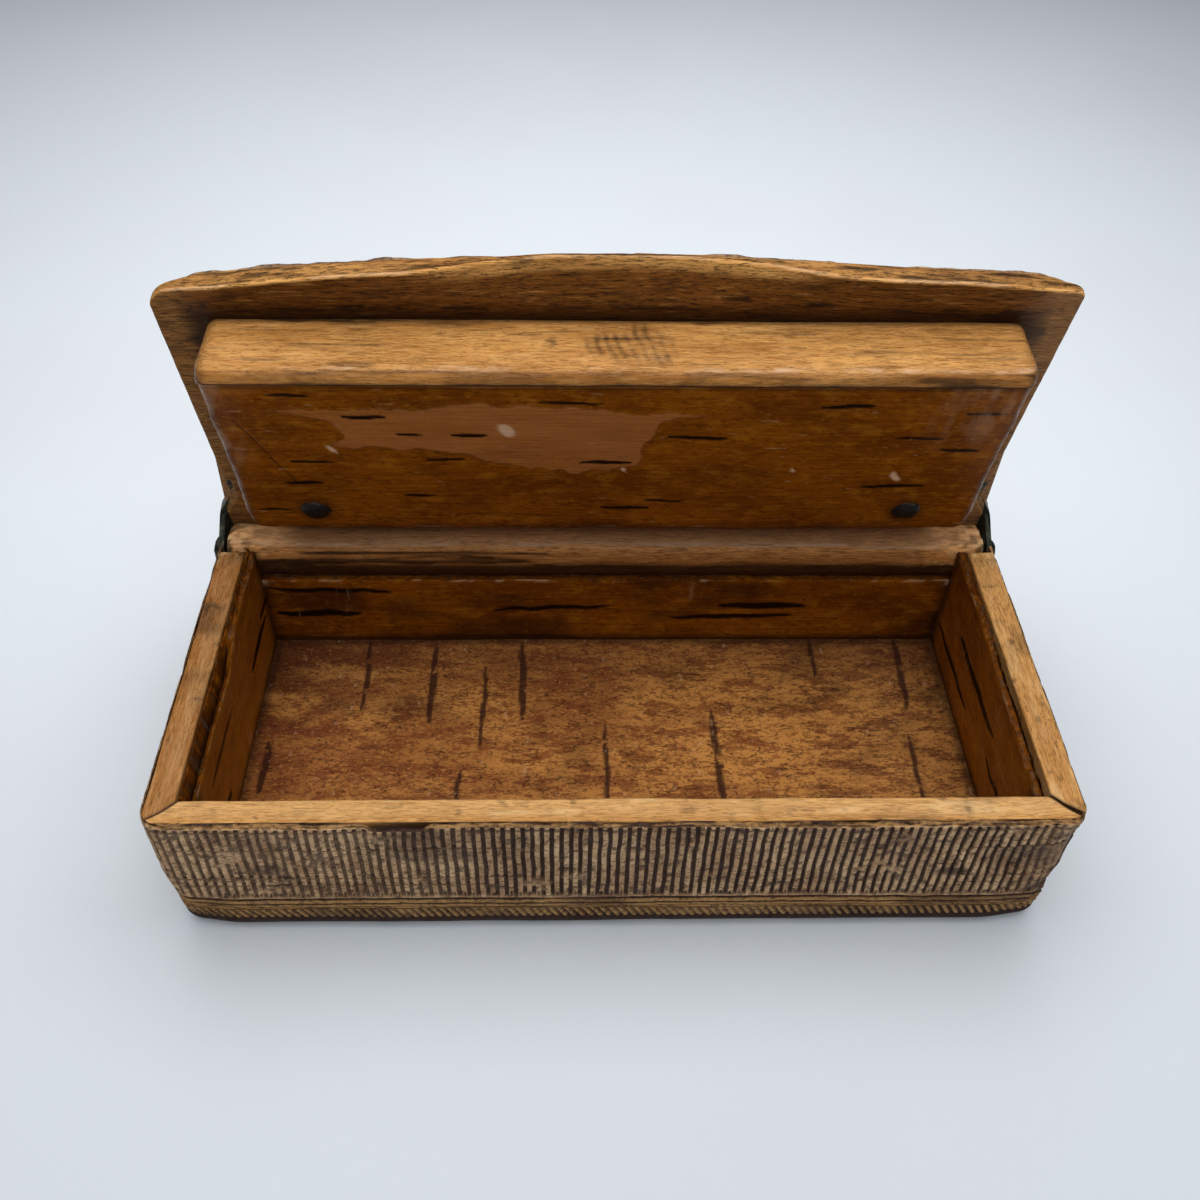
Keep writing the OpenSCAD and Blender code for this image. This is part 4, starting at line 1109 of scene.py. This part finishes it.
def make_lid_board():
    s = sizes()
    back = LID_HIGH[1]
    u = span(-1, 1, 0.32 / LID_HALF, 0.05, 12)[:, None]
    v = span(0, 1, 0.3 / (back - LID_LOW[1]), 0.012, 7)
    inside = s["lid_corner"] * np.where(u < 0, 1.7, 0.6)
    front = lid_front(u * LID_HALF, 0.0, inside, s) + 0.12 * weathered(pair(u * LID_HALF, 0 * u), 7, 121)
    y = back + v * (front - back)
    width = lid_width(y)
    x = u * width
    edge = np.minimum(np.minimum(y - front, width - np.abs(x)), back - y)
    run_back = y - LID_LOW[1]
    sag = (s["scoop_half"] ** 2 + s["scoop_depth"] ** 2) / s["scoop_depth"]
    cut = s["scoop_depth"] * (1 - run_back / s["scoop_run"]) - x * x / sag
    scoop = np.maximum(0.5 * (cut + np.sqrt(cut * cut + 0.12)) - 0.03, 0)
    flat = pair(x, y)
    clear = 0.06 * ease(-6.0, -4.0, y)
    z_in = LID_LOW[2] + clear + scoop + fall(edge, s["arris"]) + 0.04 * weathered(flat, (16, 2, 1), 122)
    z_in = np.minimum(z_in, LID_HIGH[2] - 0.35)
    inner = np.stack([x, y, z_in], axis=-1)
    pick = np.linspace(len(v) - 1, 0, 60).round().astype(int)
    shaved = np.where(u < 0, s["lid_corner_left"], s["lid_corner_right"])
    y_out = back + v[pick] * (lid_front(u * LID_HALF, 0.2, shaved, s) - back)
    x_out = u * (lid_width(y_out) - 0.1)
    edge_out = np.minimum(back - y_out, np.abs(y_out - y_out[:, :1]))
    outer = np.stack([x_out, y_out, LID_HIGH[2] - 0.5 * fall(edge_out, 0.4)], axis=-1)
    share = np.array([0.1, 0.22, 0.36, 0.5, 0.64, 0.78, 0.9])
    lip = inner[:, -1:] + share[:, None] * (outer[:, :1] - inner[:, -1:])
    rolled = 1 - np.sqrt(1 - share ** 2)
    lip[..., :2] = inner[:, -1:, :2] + rolled[:, None] * (outer[:, :1, :2] - inner[:, -1:, :2])
    lip_flat = pair(lip[..., 0], np.broadcast_to(2.5 * share, lip.shape[:2]))
    lip[..., 1] -= 0.14 * np.sin(share * math.pi) + 0.06 * weathered(lip_flat, (3, 0.6, 1), 123)
    closed = chain(inner, lip, outer)
    scooped = ease(0.0, 0.8, scoop) * ease(1.7, 0.8, y - front)
    # Dark with snuff and with painted shade over the inner face, less in the finger scoop and towards the ends.
    snuff = 0.95 * ease(0.05, 0.35, y - front) * (1 - 0.92 * scooped) * (1 - 0.3 * ease(43.0, 46.5, np.abs(x)))
    beside = np.minimum(x - PLUG_LOW[0], PLUG_HIGH[0] - x)
    beside = np.minimum(beside, np.minimum(y - PLUG_LOW[1], PLUG_HIGH[1] - y))
    # Painted shadow round the plug's root.
    root_shadow = 0.8 * ease(-3.2, -0.3, beside)
    spots = sum(ease(1.0, 0.4, np.hypot((x - px) / a, (y - py) / b)) for px, py, a, b in LID_STAINS)
    spots = 0.95 * spots * ease(-0.6, 0.3, weathered(flat, (1.6, 0.5, 1), 124))
    scuffs = 0.45 * ease(0.5, 0.95, weathered(flat, (5, 0.8, 1), 125))
    cross = 0.5 * ease(0.25, 0.05, np.abs(y + 9.0)) * (np.abs(x) > 42.5)
    chewed = 0.8 * ease(0.7, 0.9, share) * ease(0.0, 0.5, weathered(lip_flat, (4, 9, 1), 128)) * (lip[..., 0] < -15)
    aged = 0.18 + 0.1 * ease(10.0, 40.0, lip[..., 0])
    stain = chain(
        np.clip(root_shadow + spots + scuffs + cross, 0, 0.88),
        np.clip(aged + 0.6 * ease(0.1, 0.6, weathered(lip_flat, (5, 0.35, 1), 126)) + chewed, 0, 0.88),
        0.4 * ease(0.2, 0.8, weathered(pair(x_out, y_out), (8, 3, 1), 127)),
    )
    snuff = chain(snuff, 0 * lip[..., 0] + 0.3, 0 * x_out + 0.4)
    # Painted highlight along the inner face's front edge, in patches, and a little on the right end.
    patchy = ease(-0.4, 0.3, weathered(pair(x[:, -1:], 0 * front), (6, 1, 1), 129))
    gleam = 0.4 * patchy * ease(0.14, 0.02, y - front) + 0.1 * ease(42.0, 46.0, x)
    gleam = chain(gleam, 0 * lip[..., 0], 0 * x_out)
    board = piece("lid_board_wood", [shell(opened(closed), closed, stain=stain, snuff=snuff, gleam=gleam)])
    fit(board, "lid", ["lid_board"], lid_birch())


def make_lid_bark():
    s = sizes()
    low, high = LID_BARK_LOW, LID_BARK_HIGH
    half = high[0]
    count = round(2 * half / s["rib_pitch"])
    pitch = 2 * half / count
    phases = np.array([0.0, 0.14, 0.5, 0.86])
    x = (-half + (np.arange(count)[:, None] + phases) * pitch).ravel()[:, None]
    x = np.concatenate([x, [[half]]])
    back = high[1]
    rag = s["ragged"]
    shaved = np.where(x < 0, s["lid_corner_left"], s["lid_corner_right"])
    front = lid_front(x, 1.1, shaved, s) - 0.5 * rag * (1 + weathered(pair(x, 0 * x), 4, 131))
    front = np.maximum(front, lid_front(x * 0.999, 0.45, shaved, s))
    v = span(0, 1, 0.5 / (back - low[1]), 0.01, 4)
    y = back + v * (front - back)
    flat = pair(x, y)
    lean = 0.16 * uneven(flat, (9, 16, 1), 132) + 0.06 * uneven(flat, (1.1, 5, 1), 133)
    cut = np.abs((((x + half) / pitch + lean + 0.5) % 1) - 0.5) * 2
    worn = 0.7 * ease(0.3, 0.9, weathered(flat, (9, 14, 1), 134))
    edge = np.minimum(np.minimum(back - y, y - front), half - np.abs(x))
    groove = ease(0.45, 0.9, 1 - cut) * (1 - 0.6 * worn) * ease(0.5, 1.1, edge)
    z = high[2] - s["rib_depth"] * groove - fall(edge, 0.35) + 0.06 * np.minimum(weathered(flat, (7, 7, 1), 135), 0.5)
    under_y = chain(front, front * 0.5, 0 * front + back)
    under = grid(x, under_y, low[2] + 0.01)
    closed = chain(grid(x, y, z), under)
    pad = np.zeros((len(x), 3))
    stain = 0.3 * ease(0.1, 1.0, weathered(flat, (7, 16, 1), 136)) + 0.5 * ease(0.5, 0.0, edge)
    stain = stain + 0.35 * ease(0.35, 0.9, weathered(flat, (0.9, 7, 1), 137))
    stain = stain + 0.4 * ease(0.6, 1.0, weathered(flat, (2.2, 1.2, 1), 140))
    bark = piece("lid_bark_ribbed", [shell(
        opened(closed), closed[..., [0, 2, 1]],
        groove=chain(0.92 * groove, pad),
        stain=chain(np.clip(stain, 0, 0.8), pad + 0.6),
    )])
    fit(bark, "lid", ["lid_bark"], ribbed_bark())


def make_plug():
    s = sizes()
    half, r = PLUG_HIGH[0], s["plug_round"]
    top, low = PLUG_HIGH[2], PLUG_LOW[2]
    front, rear_top = PLUG_LOW[1], PLUG_HIGH[1]
    rear, seat, lip = SHEET_HIGH[1] + 0.5, SHEET_HIGH[2], SHEET_LOW[1]
    cy, cz = front + r, low + r
    start = math.asin(max(0.0, cy - lip + 0.15) / r)
    turn = np.linspace(-math.pi / 2 - start, -math.pi, 19)
    outline = [(rear_top, top), (rear_top - 1.2, (top + seat) / 2), (rear, seat), ((rear + lip) / 2, seat)]
    outline += [(lip - 0.02, seat), (lip - 0.02, low + 0.22), (lip - 0.08, low + 0.12)]
    outline += [(cy + r * math.cos(a), cz + r * math.sin(a)) for a in turn]
    outline += [(front, z) for z in np.linspace(cz + 0.2, top - 0.1, 36)]
    outline += [(front + 0.4, top), ((front + rear_top) / 2, top)]
    py, pz = np.array(outline).T
    x = span(-half, half, 0.25, 2.5, 12)[:, None]
    end = half - np.abs(x)
    forward = ease(rear, front + 2, py)
    corner = fall(end, s["plug_corner"] * np.where(x > 0, 0.55, 1.0))
    y = py + (corner + 0.05 * uneven(pair(x, pz), (18, 4, 1), 141)) * forward
    z = pz + fall(end, 1.7) * ease(top - 1.5, low + 1.0, pz)
    closed = grid(x * (1 + 0.012 * ease(top, low, pz)), y, z)
    flat = pair(x, z)
    side = ease(front + 3, front + 0.5, y)
    cover = ease(1.2, 0.5, np.hypot((x - 1) / 5.0, (z + 0.1) / 3.0) + 0.3 * weathered(flat, 2.6, 146))
    hatch = np.sin(2 * math.pi * (x + 0.3 * z + 0.25 * uneven(flat, (2.5, 1.5, 1), 147)) / 1.1)
    smudge = cover * (0.26 + 0.4 * ease(-0.4, 0.9, hatch))
    smudge = smudge * np.clip(0.8 + 0.3 * weathered(flat, (3, 2, 1), 142), 0.3, 1)
    knot = 0.75 * ease(1.0, 0.2, np.hypot((x + 7) / 1.1, z - 0.4)) * ease(-0.9, 0.3, weathered(flat, 0.9, 143))
    scuffs = 0.45 * ease(0.5, 0.95, weathered(flat, (9, 0.5, 1), 144))
    # Painted shadow along the plug's root at the board.
    root_shadow = 0.75 * ease(top - 0.9, top - 0.05, z)
    bevel = ease(cz - 0.32 * r, cz - 0.5 * r, pz) * (py < lip + 0.1)
    lip_dirt = 0.3 * bevel * ease(-0.1, 0.6, weathered(flat, (4, 0.8, 1), 138))
    crack = 0.9 * ease(lip - 0.4 - 0.2 * uneven(flat, 3, 148), lip - 0.08, y) * (y < lip + 0.05)
    ends = 0.35 * ease(2.0, 0.0, end)
    stain = np.clip(side * (smudge + knot) + scuffs + root_shadow + lip_dirt + crack + ends, 0, 0.9)
    # Painted highlight: a broken pale line along the rounded ridge, in the patches of the rubbed mask.
    ridge = pz - cz + 0.27 * r + 0.12 * uneven(flat, (7, 9, 1), 149)
    rubbed = ease(-0.5, 0.3, weathered(flat, (5, 2, 1), 150)) * ease(-36.0, -30.0, x)
    sparkle = np.clip(0.45 + 0.6 * weathered(grid(x, pz, 0), (1.4, 0.22, 1), 168), 0, 1)
    gleam = 0.8 * ease(0.42, 0.08, np.abs(ridge)) * (py < cy) * rubbed * sparkle
    aged = np.clip(0.3 + 0.25 * weathered(flat, (12, 1.5, 1), 139) + 0.5 * bevel, 0, 0.95)
    plug = piece("lid_plug_wood", [shell(opened(closed), closed, stain=stain, snuff=aged, gleam=gleam)])
    roughen(plug, (12, 1.6, 1.6), s["plane_marks"] * 0.7, 145)
    fit(plug, "lid", ["lid_plug"], clean_birch())


PLUG_DASHES = [
    (-34.5, -37, 4.5), (-27, -33.5, 5), (-22.5, -30.5, 3), (-16, -30.5, 4), (-5, -36, 7), (24.5, -35.5, 6),
    (39.5, -34.5, 4.5), (9, -30, 7), (33.5, -30, 5.5), (38.5, -28, 4.5), (-19, -26, 4.5), (-1, -25.5, 6),
    (-34, -25.5, 5), (-35.5, -21.5, 4.5), (-22.5, -19, 4), (32.5, -21, 7.5), (6, -18, 4.5), (1.5, -16.5, 6),
    (-40, -16, 4),
]
PAPER_OUTLINE = [
    (-37, -35), (-26, -34.6), (-16, -35.6), (-2, -34.9), (4, -34.2), (10, -33.9), (5, -33), (4.5, -31), (3, -28),
    (2, -25.4), (-4, -23.6), (-10, -24.6), (-17, -27), (-24, -28), (-31, -28.4), (-29.5, -30.5), (-30.5, -32.5),
    (-33, -33.6),
]


def make_plug_bark():
    s = sizes()
    half = PLUG_HIGH[0] + 0.1
    front, rear = SHEET_LOW[1], SHEET_HIGH[1] + 0.3
    low, high = SHEET_LOW[2], SHEET_HIGH[2]
    x = span(-half, half, 0.2, 1.2, 8)[:, None]
    v = span(0, 1, 0.2 / (rear - front), 0.008, 4)
    end = half - np.abs(x)
    ripple = 0.2 * weathered(pair(x, 0 * x), 2.5, 151)
    back = rear - fall(end, 2.2) + np.minimum(ripple, 0.1)
    y = front + 0.02 + v * (back - front)
    side = weathered(pair(y, 0 * y), 2.2, 152)
    x_all = x + np.sign(x) * 0.2 * side * ease(1.5, 0.0, end)
    flat = pair(x_all, y)
    lens = dashes(x_all, y, PLUG_DASHES, 1.3 * s["lenticel"], 153)
    paper = patch(x_all, y, PAPER_OUTLINE, 0.25, 154)
    bow = 0.06 * uneven(flat, (15, 9, 1), 155) + 0.02 * weathered(flat, (3, 1.5, 1), 156)
    curve = 0.9 * fall(end, 1.0) + 0.4 * fall(back - y, 0.5)
    slash_at = -41 + 0.41 * (y + 33) - x_all
    slash = ease(0.22, 0.05, np.abs(slash_at + 0.2 * uneven(flat, 2.5, 162))) * (y > -33) * (y < -21)
    z = low + curve + bow + 0.03 * lens + 0.05 * slash - s["peel"] * paper + 0.02
    face = np.stack([x_all, np.broadcast_to(y, z.shape), z], axis=-1)
    top = np.minimum(high - 0.02 + 0 * x, z[:, -1:] + 0.6)
    under_y = chain(back, 0.5 * (back + front), 0 * back + front)
    under = grid(x, under_y, np.maximum(top, z[:, :1] + 0.05))
    closed = chain(face, under)
    pad = np.zeros((len(x), 3))
    frayed = ease(0.4, 0.15, end) * ease(0.1, 0.5, weathered(flat, (0.4, 1.4, 1), 157))
    rear_fray = 0.4 * ease(0.6, 0.1, back - y) * ease(0.3, 0.8, weathered(flat, (2.5, 0.5, 1), 158))
    scratches = 0.22 * ease(1.12, 1.3, weathered(flat, (2.5, 0.3, 1), 159))
    chip_spots = [(-31.3, -27.8, 0.5), (-12, -31.4, 0.9), (32.5, -22.7, 0.6), (20.5, -24, 0.4), (1, -24.2, 0.35)]
    chips = 0.0
    for cx, cy, size in chip_spots:
        along, across = 0.5 * (x_all - cx) + 0.85 * (y - cy), 0.85 * (x_all - cx) - 0.5 * (y - cy)
        chips = chips + ease(size, 0.4 * size, np.hypot(along / 1.8, across) + 0.2 * weathered(flat, 0.8, 169))
    # Painted sheen: soft pale streaks near the right and left ends of the bark, carried by the wear mark.
    painted_sheen_right = ease(31.0, 41.0, x_all) * ease(-26.0, -34.0, y) * ease(-0.4, 0.6, weathered(flat, (0.9, 4, 1), 163))
    painted_sheen_left = ease(-40.0, -42.5, x_all) * ease(-20.0, -30.0, y) * ease(-0.2, 0.6, weathered(flat, (0.7, 3, 1), 164))
    wear = np.clip(0.4 * frayed + rear_fray + scratches + 0.9 * chips + 0.16 * (painted_sheen_right + painted_sheen_left), 0, 0.9)
    rim = 0.5 * ease(0.7, 0.1, y - front) + 0.3 * ease(2.0, 0.3, back - y) + 0.4 * ease(1.6, 0.4, end)
    mottle = np.clip(0.68 + 0.22 * weathered(flat, (9, 2.4, 1), 165) + 0.12 * ease(-20.0, -5.0, x_all), 0.3, 0.95)
    paper_edge = 0.35 * ease(0.0, 0.35, paper) * ease(1.0, 0.65, paper)
    around = sum(ease(3.2, 1.5, np.hypot(x_all - nx, y - NAIL_Y)) for nx in (-NAIL_X, NAIL_X))
    cracks = 0.75 * ease(0.18, 0.0, np.abs(y + 15 + 0.5 * uneven(flat, (7, 50, 1), 160)))
    cracks = cracks * (np.abs(x_all + 14.5) < 8.5)
    stain = np.clip(rim + paper_edge + 0.5 * around + cracks + 0.6 * slash, 0, 0.85)
    sheet = piece("plug_lining_bark", [shell(
        opened(closed), closed,
        lenticel=chain(lens, pad),
        paper=chain(paper * mottle, pad),
        wear=chain(wear, pad + 0.5),
        stain=chain(stain, pad + 0.4),
    )])
    fit(sheet, "lid", ["plug_lining"], amber_bark())


def nail_corners():
    """Middle of the plug nails' heads, from the node, and the radius and height of a head."""
    low, high = lid_corners("plug_nails")
    radius = (high[1] - low[1]) / 2
    return high[0] - radius, (low[1] + high[1]) / 2, radius, SHEET_LOW[2] - low[2]


NAIL_X, NAIL_Y, NAIL_R, NAIL_H = nail_corners()


def head(radius, height, shank, depth, seed):
    """A hammered nail: rings from the crown of its head down to the end of its shank, along +Z."""
    turn = np.linspace(0.06, math.pi / 2, 10)
    profile = [(radius * math.sin(a), height * math.cos(a)) for a in turn]
    profile += [(0.96 * radius, -0.08), (shank, -0.1), (shank, -depth)]
    theta = np.linspace(0, 2 * math.pi, 36, endpoint=False)
    r, z = np.array(profile).T
    ring = np.stack([r[:, None] * np.cos(theta), r[:, None] * np.sin(theta), 0 * theta + z[:, None]], axis=-1)
    dents = 0.06 * radius * weathered(ring, radius * 0.8, seed)
    oval = 1 + 0.06 * np.cos(2 * theta + seed)
    ring[..., :2] *= (oval * (1 + dents))[..., None]
    ring[..., 2] += np.where(z[:, None] > 0, dents, 0)
    return ring


def make_nails():
    parts = []
    for side in (-1, 1):
        ring = head(NAIL_R, NAIL_H, 0.5, 1.2, 170 + side) * (1, 1, -1)
        closed = ring + (side * NAIL_X, NAIL_Y, SHEET_LOW[2] + 0.04)
        parts.append(shell(opened(closed), closed))
    fit(piece("plug_nails_iron", parts), "lid", ["plug_nails"], nail_iron())
    low, high = lid_corners("strap_nails")
    radius = (high[2] - low[2]) / 2
    parts = []
    for side in (-1, 1):
        ring = head(radius, high[0] - LID_HALF, 0.35, 1.0, 180 + side)[..., [2, 1, 0]] * (side, 1, 1)
        closed = ring + (side * LID_HALF, (low[1] + high[1]) / 2, (low[2] + high[2]) / 2)
        parts.append(shell(opened(closed), closed))
    fit(piece("strap_nails_iron", parts), "lid", ["strap_nails"], nail_iron())


def make_straps():
    """Cranked straps, and the domed pins that they turn on."""
    out = STRAP_HIGH[0]
    eye = STRAP_HIGH[1]
    reach = STRAP_LOW[1]
    top, arm = STRAP_HIGH[2], STRAP_HIGH[2] - STRAP_W
    y = span(reach, eye, 0.3, 0.5, 5)[:, None]
    bend = np.clip((y - CRANK_END) / (CRANK_START - CRANK_END), 0, 1)
    outside = LID_HALF + (out - LID_HALF) * bend
    disc = -np.sqrt(np.clip(eye ** 2 - np.clip(y, -eye, eye) ** 2, 0, None))
    neck = ease(-3.6, -eye + 0.2, y)
    low = np.where(y > -eye, disc, 0.0) * neck + arm * (1 - neck)
    tip = fall(y - reach, 0.5)
    crown = top - 1.3 * fall(eye - y, 1.6) - tip
    low = low + tip
    share = np.linspace(0.06, 0.94, 14)
    rise = np.concatenate([share, share[::-1]])
    face = np.concatenate([np.ones(14), np.zeros(14)])
    z = low + rise * (crown - low)
    round_edge = 0.16 * (1 - ease(0.0, 0.1, np.minimum(rise, 1 - rise)))
    for side, node, pin in ((-1, "hinge_strap_left", "hinge_pin_left"), (1, "hinge_strap_right", "hinge_pin_right")):
        places = grid(0 * y + side, y, z)
        hammer = 0.07 * np.minimum(weathered(places, 1.6, 190 + side), 0.3)
        x = side * (outside - STRAP_T * (1 - face) + np.where(face > 0, hammer - round_edge, round_edge))
        closed = grid(x, y, z)
        strap = piece(node + "_brass", [shell(opened(closed), closed)])
        fit(strap, "lid", [node], strap_brass())
        low_pin, high_pin = corners(pin)
        radius = (high_pin[2] - low_pin[2]) / 2
        base = out + 0.02
        tip_x = max(abs(low_pin[0]), abs(high_pin[0]))
        ring = head(radius, tip_x - base, 0.7, base - RAIL_HIGH[0] + 3, 195 + side)[..., [2, 1, 0]] * (side, 1, 1)
        placed = ring + (side * base, AXIS[1], AXIS[2])
        made = piece(pin + "_brass", [shell(placed, placed)])
        fit(made, "box", [pin], strap_brass())


# The stage

CAMERA_AT = (-5.07, -95.66, 125.18)
CAMERA_PITCH = math.radians(45.28)
CAMERA_YAW = math.radians(2.05)
CAMERA_ROLL = math.radians(-1.44)
CAMERA_LENS = 35.97
CAMERA_SENSOR = 36.0
BACKDROP_HALF = 700
SKY_TINT = (0.86, 0.93, 1.0, 1.0)
SKY_STRENGTH = 0.14


def make_stage():
    y = np.linspace(-BACKDROP_HALF, BACKDROP_HALF, 30)
    x = y[:, None]
    top = grid(x, y, 0.0)
    under = grid(x, y[[-1, 0]], -2.0)
    rings = chain(top, under)
    floor = piece("backdrop", [shell(rings, rings)])
    floor.data.materials.append(backdrop_paper())

    world = bpy.data.worlds.new("Studio")
    world.use_nodes = True
    shade = world.node_tree.nodes["Background"]
    shade.inputs["Color"].default_value = SKY_TINT
    shade.inputs["Strength"].default_value = SKY_STRENGTH
    bpy.context.scene.world = world
    lamps = (
        ("overhead", (0.0, 0.09, 0.19), (0.0, 0.1, 0.0), 0.3, 0.53, (1.0, 0.98, 0.95)),
        ("front_fill", (0.0, -0.3, 0.5), (0.0, 0.0, 0.02), 0.4, 1.12, (0.98, 0.99, 1.0)),
    )
    for name, at, aim, size, power, tint in lamps:
        lamp = bpy.data.lights.new(name, "AREA")
        lamp.size = size
        lamp.energy = power
        lamp.color = tint
        placed = bpy.data.objects.new(name, lamp)
        placed.location = at
        placed.rotation_euler = (Vector(aim) - Vector(at)).to_track_quat("-Z", "Y").to_euler()
        bpy.context.scene.collection.objects.link(placed)

    camera = bpy.data.objects.new("camera", bpy.data.cameras.new("camera"))
    camera.data.lens = CAMERA_LENS
    camera.data.sensor_width = CAMERA_SENSOR
    camera.data.clip_start = 0.01
    level = math.cos(CAMERA_PITCH)
    ahead = Vector((math.sin(CAMERA_YAW) * level, math.cos(CAMERA_YAW) * level, -math.sin(CAMERA_PITCH)))
    right = Vector((math.cos(CAMERA_YAW), -math.sin(CAMERA_YAW), 0.0))
    down = ahead.cross(right)
    rolled_right = math.cos(CAMERA_ROLL) * right + math.sin(CAMERA_ROLL) * down
    rolled_down = math.cos(CAMERA_ROLL) * down - math.sin(CAMERA_ROLL) * right
    turn = Matrix((rolled_right, -rolled_down, -ahead)).transposed().to_4x4()
    camera.matrix_world = Matrix.Translation(Vector(CAMERA_AT) / MM) @ turn
    bpy.context.scene.collection.objects.link(camera)
    bpy.context.scene.camera = camera
    bpy.context.scene.view_settings.view_transform = "Standard"


# The add-on

class SNUFFBOX_OT_walls(bpy.types.Operator):
    """Make the four walls, mitred in front and worn along their rims"""

    bl_idname = "snuffbox.walls"
    bl_label = "Walls"

    def execute(self, context):
        make_walls()
        return {"FINISHED"}


class SNUFFBOX_OT_rail(bpy.types.Operator):
    """Make the rounded hinge rail"""

    bl_idname = "snuffbox.rail"
    bl_label = "Hinge Rail"

    def execute(self, context):
        make_rail()
        return {"FINISHED"}


class SNUFFBOX_OT_cladding(bpy.types.Operator):
    """Make the ribbed bark round the box"""

    bl_idname = "snuffbox.cladding"
    bl_label = "Ribbed Cladding"

    def execute(self, context):
        make_cladding()
        return {"FINISHED"}


class SNUFFBOX_OT_foot(bpy.types.Operator):
    """Make the roped band and the sheet under the foot, and finish the bottom board"""

    bl_idname = "snuffbox.foot"
    bl_label = "Foot"

    def execute(self, context):
        make_foot()
        return {"FINISHED"}


class SNUFFBOX_OT_linings(bpy.types.Operator):
    """Make the bark linings of the four walls"""

    bl_idname = "snuffbox.linings"
    bl_label = "Wall Linings"

    def execute(self, context):
        make_linings()
        return {"FINISHED"}


class SNUFFBOX_OT_floor(bpy.types.Operator):
    """Make the bark floor"""

    bl_idname = "snuffbox.floor"
    bl_label = "Floor Lining"

    def execute(self, context):
        make_floor()
        return {"FINISHED"}


class SNUFFBOX_OT_lid_board(bpy.types.Operator):
    """Make the lid's board with its finger scoop"""

    bl_idname = "snuffbox.lid_board"
    bl_label = "Lid Board"

    def execute(self, context):
        make_lid_board()
        return {"FINISHED"}


class SNUFFBOX_OT_lid_bark(bpy.types.Operator):
    """Make the ribbed bark on the lid's outer face"""

    bl_idname = "snuffbox.lid_bark"
    bl_label = "Lid Bark"

    def execute(self, context):
        make_lid_bark()
        return {"FINISHED"}


class SNUFFBOX_OT_plug(bpy.types.Operator):
    """Make the lid's plug and the bark on it"""

    bl_idname = "snuffbox.plug"
    bl_label = "Plug"

    def execute(self, context):
        make_plug()
        make_plug_bark()
        return {"FINISHED"}


class SNUFFBOX_OT_nails(bpy.types.Operator):
    """Make the nails of the plug and the straps"""

    bl_idname = "snuffbox.nails"
    bl_label = "Nails"

    def execute(self, context):
        make_nails()
        return {"FINISHED"}


class SNUFFBOX_OT_straps(bpy.types.Operator):
    """Make the two cranked straps and their pins"""

    bl_idname = "snuffbox.straps"
    bl_label = "Straps and Pins"

    def execute(self, context):
        make_straps()
        return {"FINISHED"}


class SNUFFBOX_OT_stage(bpy.types.Operator):
    """Make the floor, the lamps and the camera"""

    bl_idname = "snuffbox.stage"
    bl_label = "Stage"

    def execute(self, context):
        make_stage()
        return {"FINISHED"}


STEPS = (
    SNUFFBOX_OT_stage, SNUFFBOX_OT_walls, SNUFFBOX_OT_rail, SNUFFBOX_OT_cladding, SNUFFBOX_OT_foot,
    SNUFFBOX_OT_linings, SNUFFBOX_OT_floor, SNUFFBOX_OT_lid_board, SNUFFBOX_OT_lid_bark, SNUFFBOX_OT_plug,
    SNUFFBOX_OT_nails, SNUFFBOX_OT_straps,
)


class SNUFFBOX_PT_panel(bpy.types.Panel):
    """Lists the steps and the settings of the snuff box"""

    bl_label = "Snuff Box"
    bl_idname = "SNUFFBOX_PT_panel"
    bl_space_type = "VIEW_3D"
    bl_region_type = "UI"
    bl_category = "Snuff Box"

    def draw(self, context):
        for step in STEPS:
            self.layout.operator(step.bl_idname)
        for group in (context.scene.snuff_box_sizes, context.scene.snuff_box_colours):
            box = self.layout.box()
            for name in type(group).__annotations__:
                box.prop(group, name)


CLASSES = (SnuffBoxSizes, SnuffBoxColours, *STEPS, SNUFFBOX_PT_panel)


def register():
    for made in CLASSES:
        bpy.utils.register_class(made)
    bpy.types.Scene.snuff_box_sizes = bpy.props.PointerProperty(type=SnuffBoxSizes)
    bpy.types.Scene.snuff_box_colours = bpy.props.PointerProperty(type=SnuffBoxColours)


def unregister():
    del bpy.types.Scene.snuff_box_colours
    del bpy.types.Scene.snuff_box_sizes
    for made in reversed(CLASSES):
        bpy.utils.unregister_class(made)


def main():
    register()
    bpy.ops.snuffbox.stage()
    bpy.ops.snuffbox.walls()
    bpy.ops.snuffbox.rail()
    bpy.ops.snuffbox.cladding()
    bpy.ops.snuffbox.foot()
    bpy.ops.snuffbox.linings()
    bpy.ops.snuffbox.floor()
    bpy.ops.snuffbox.lid_board()
    bpy.ops.snuffbox.lid_bark()
    bpy.ops.snuffbox.plug()
    bpy.ops.snuffbox.nails()
    bpy.ops.snuffbox.straps()


if __name__ == "__main__":
    main()
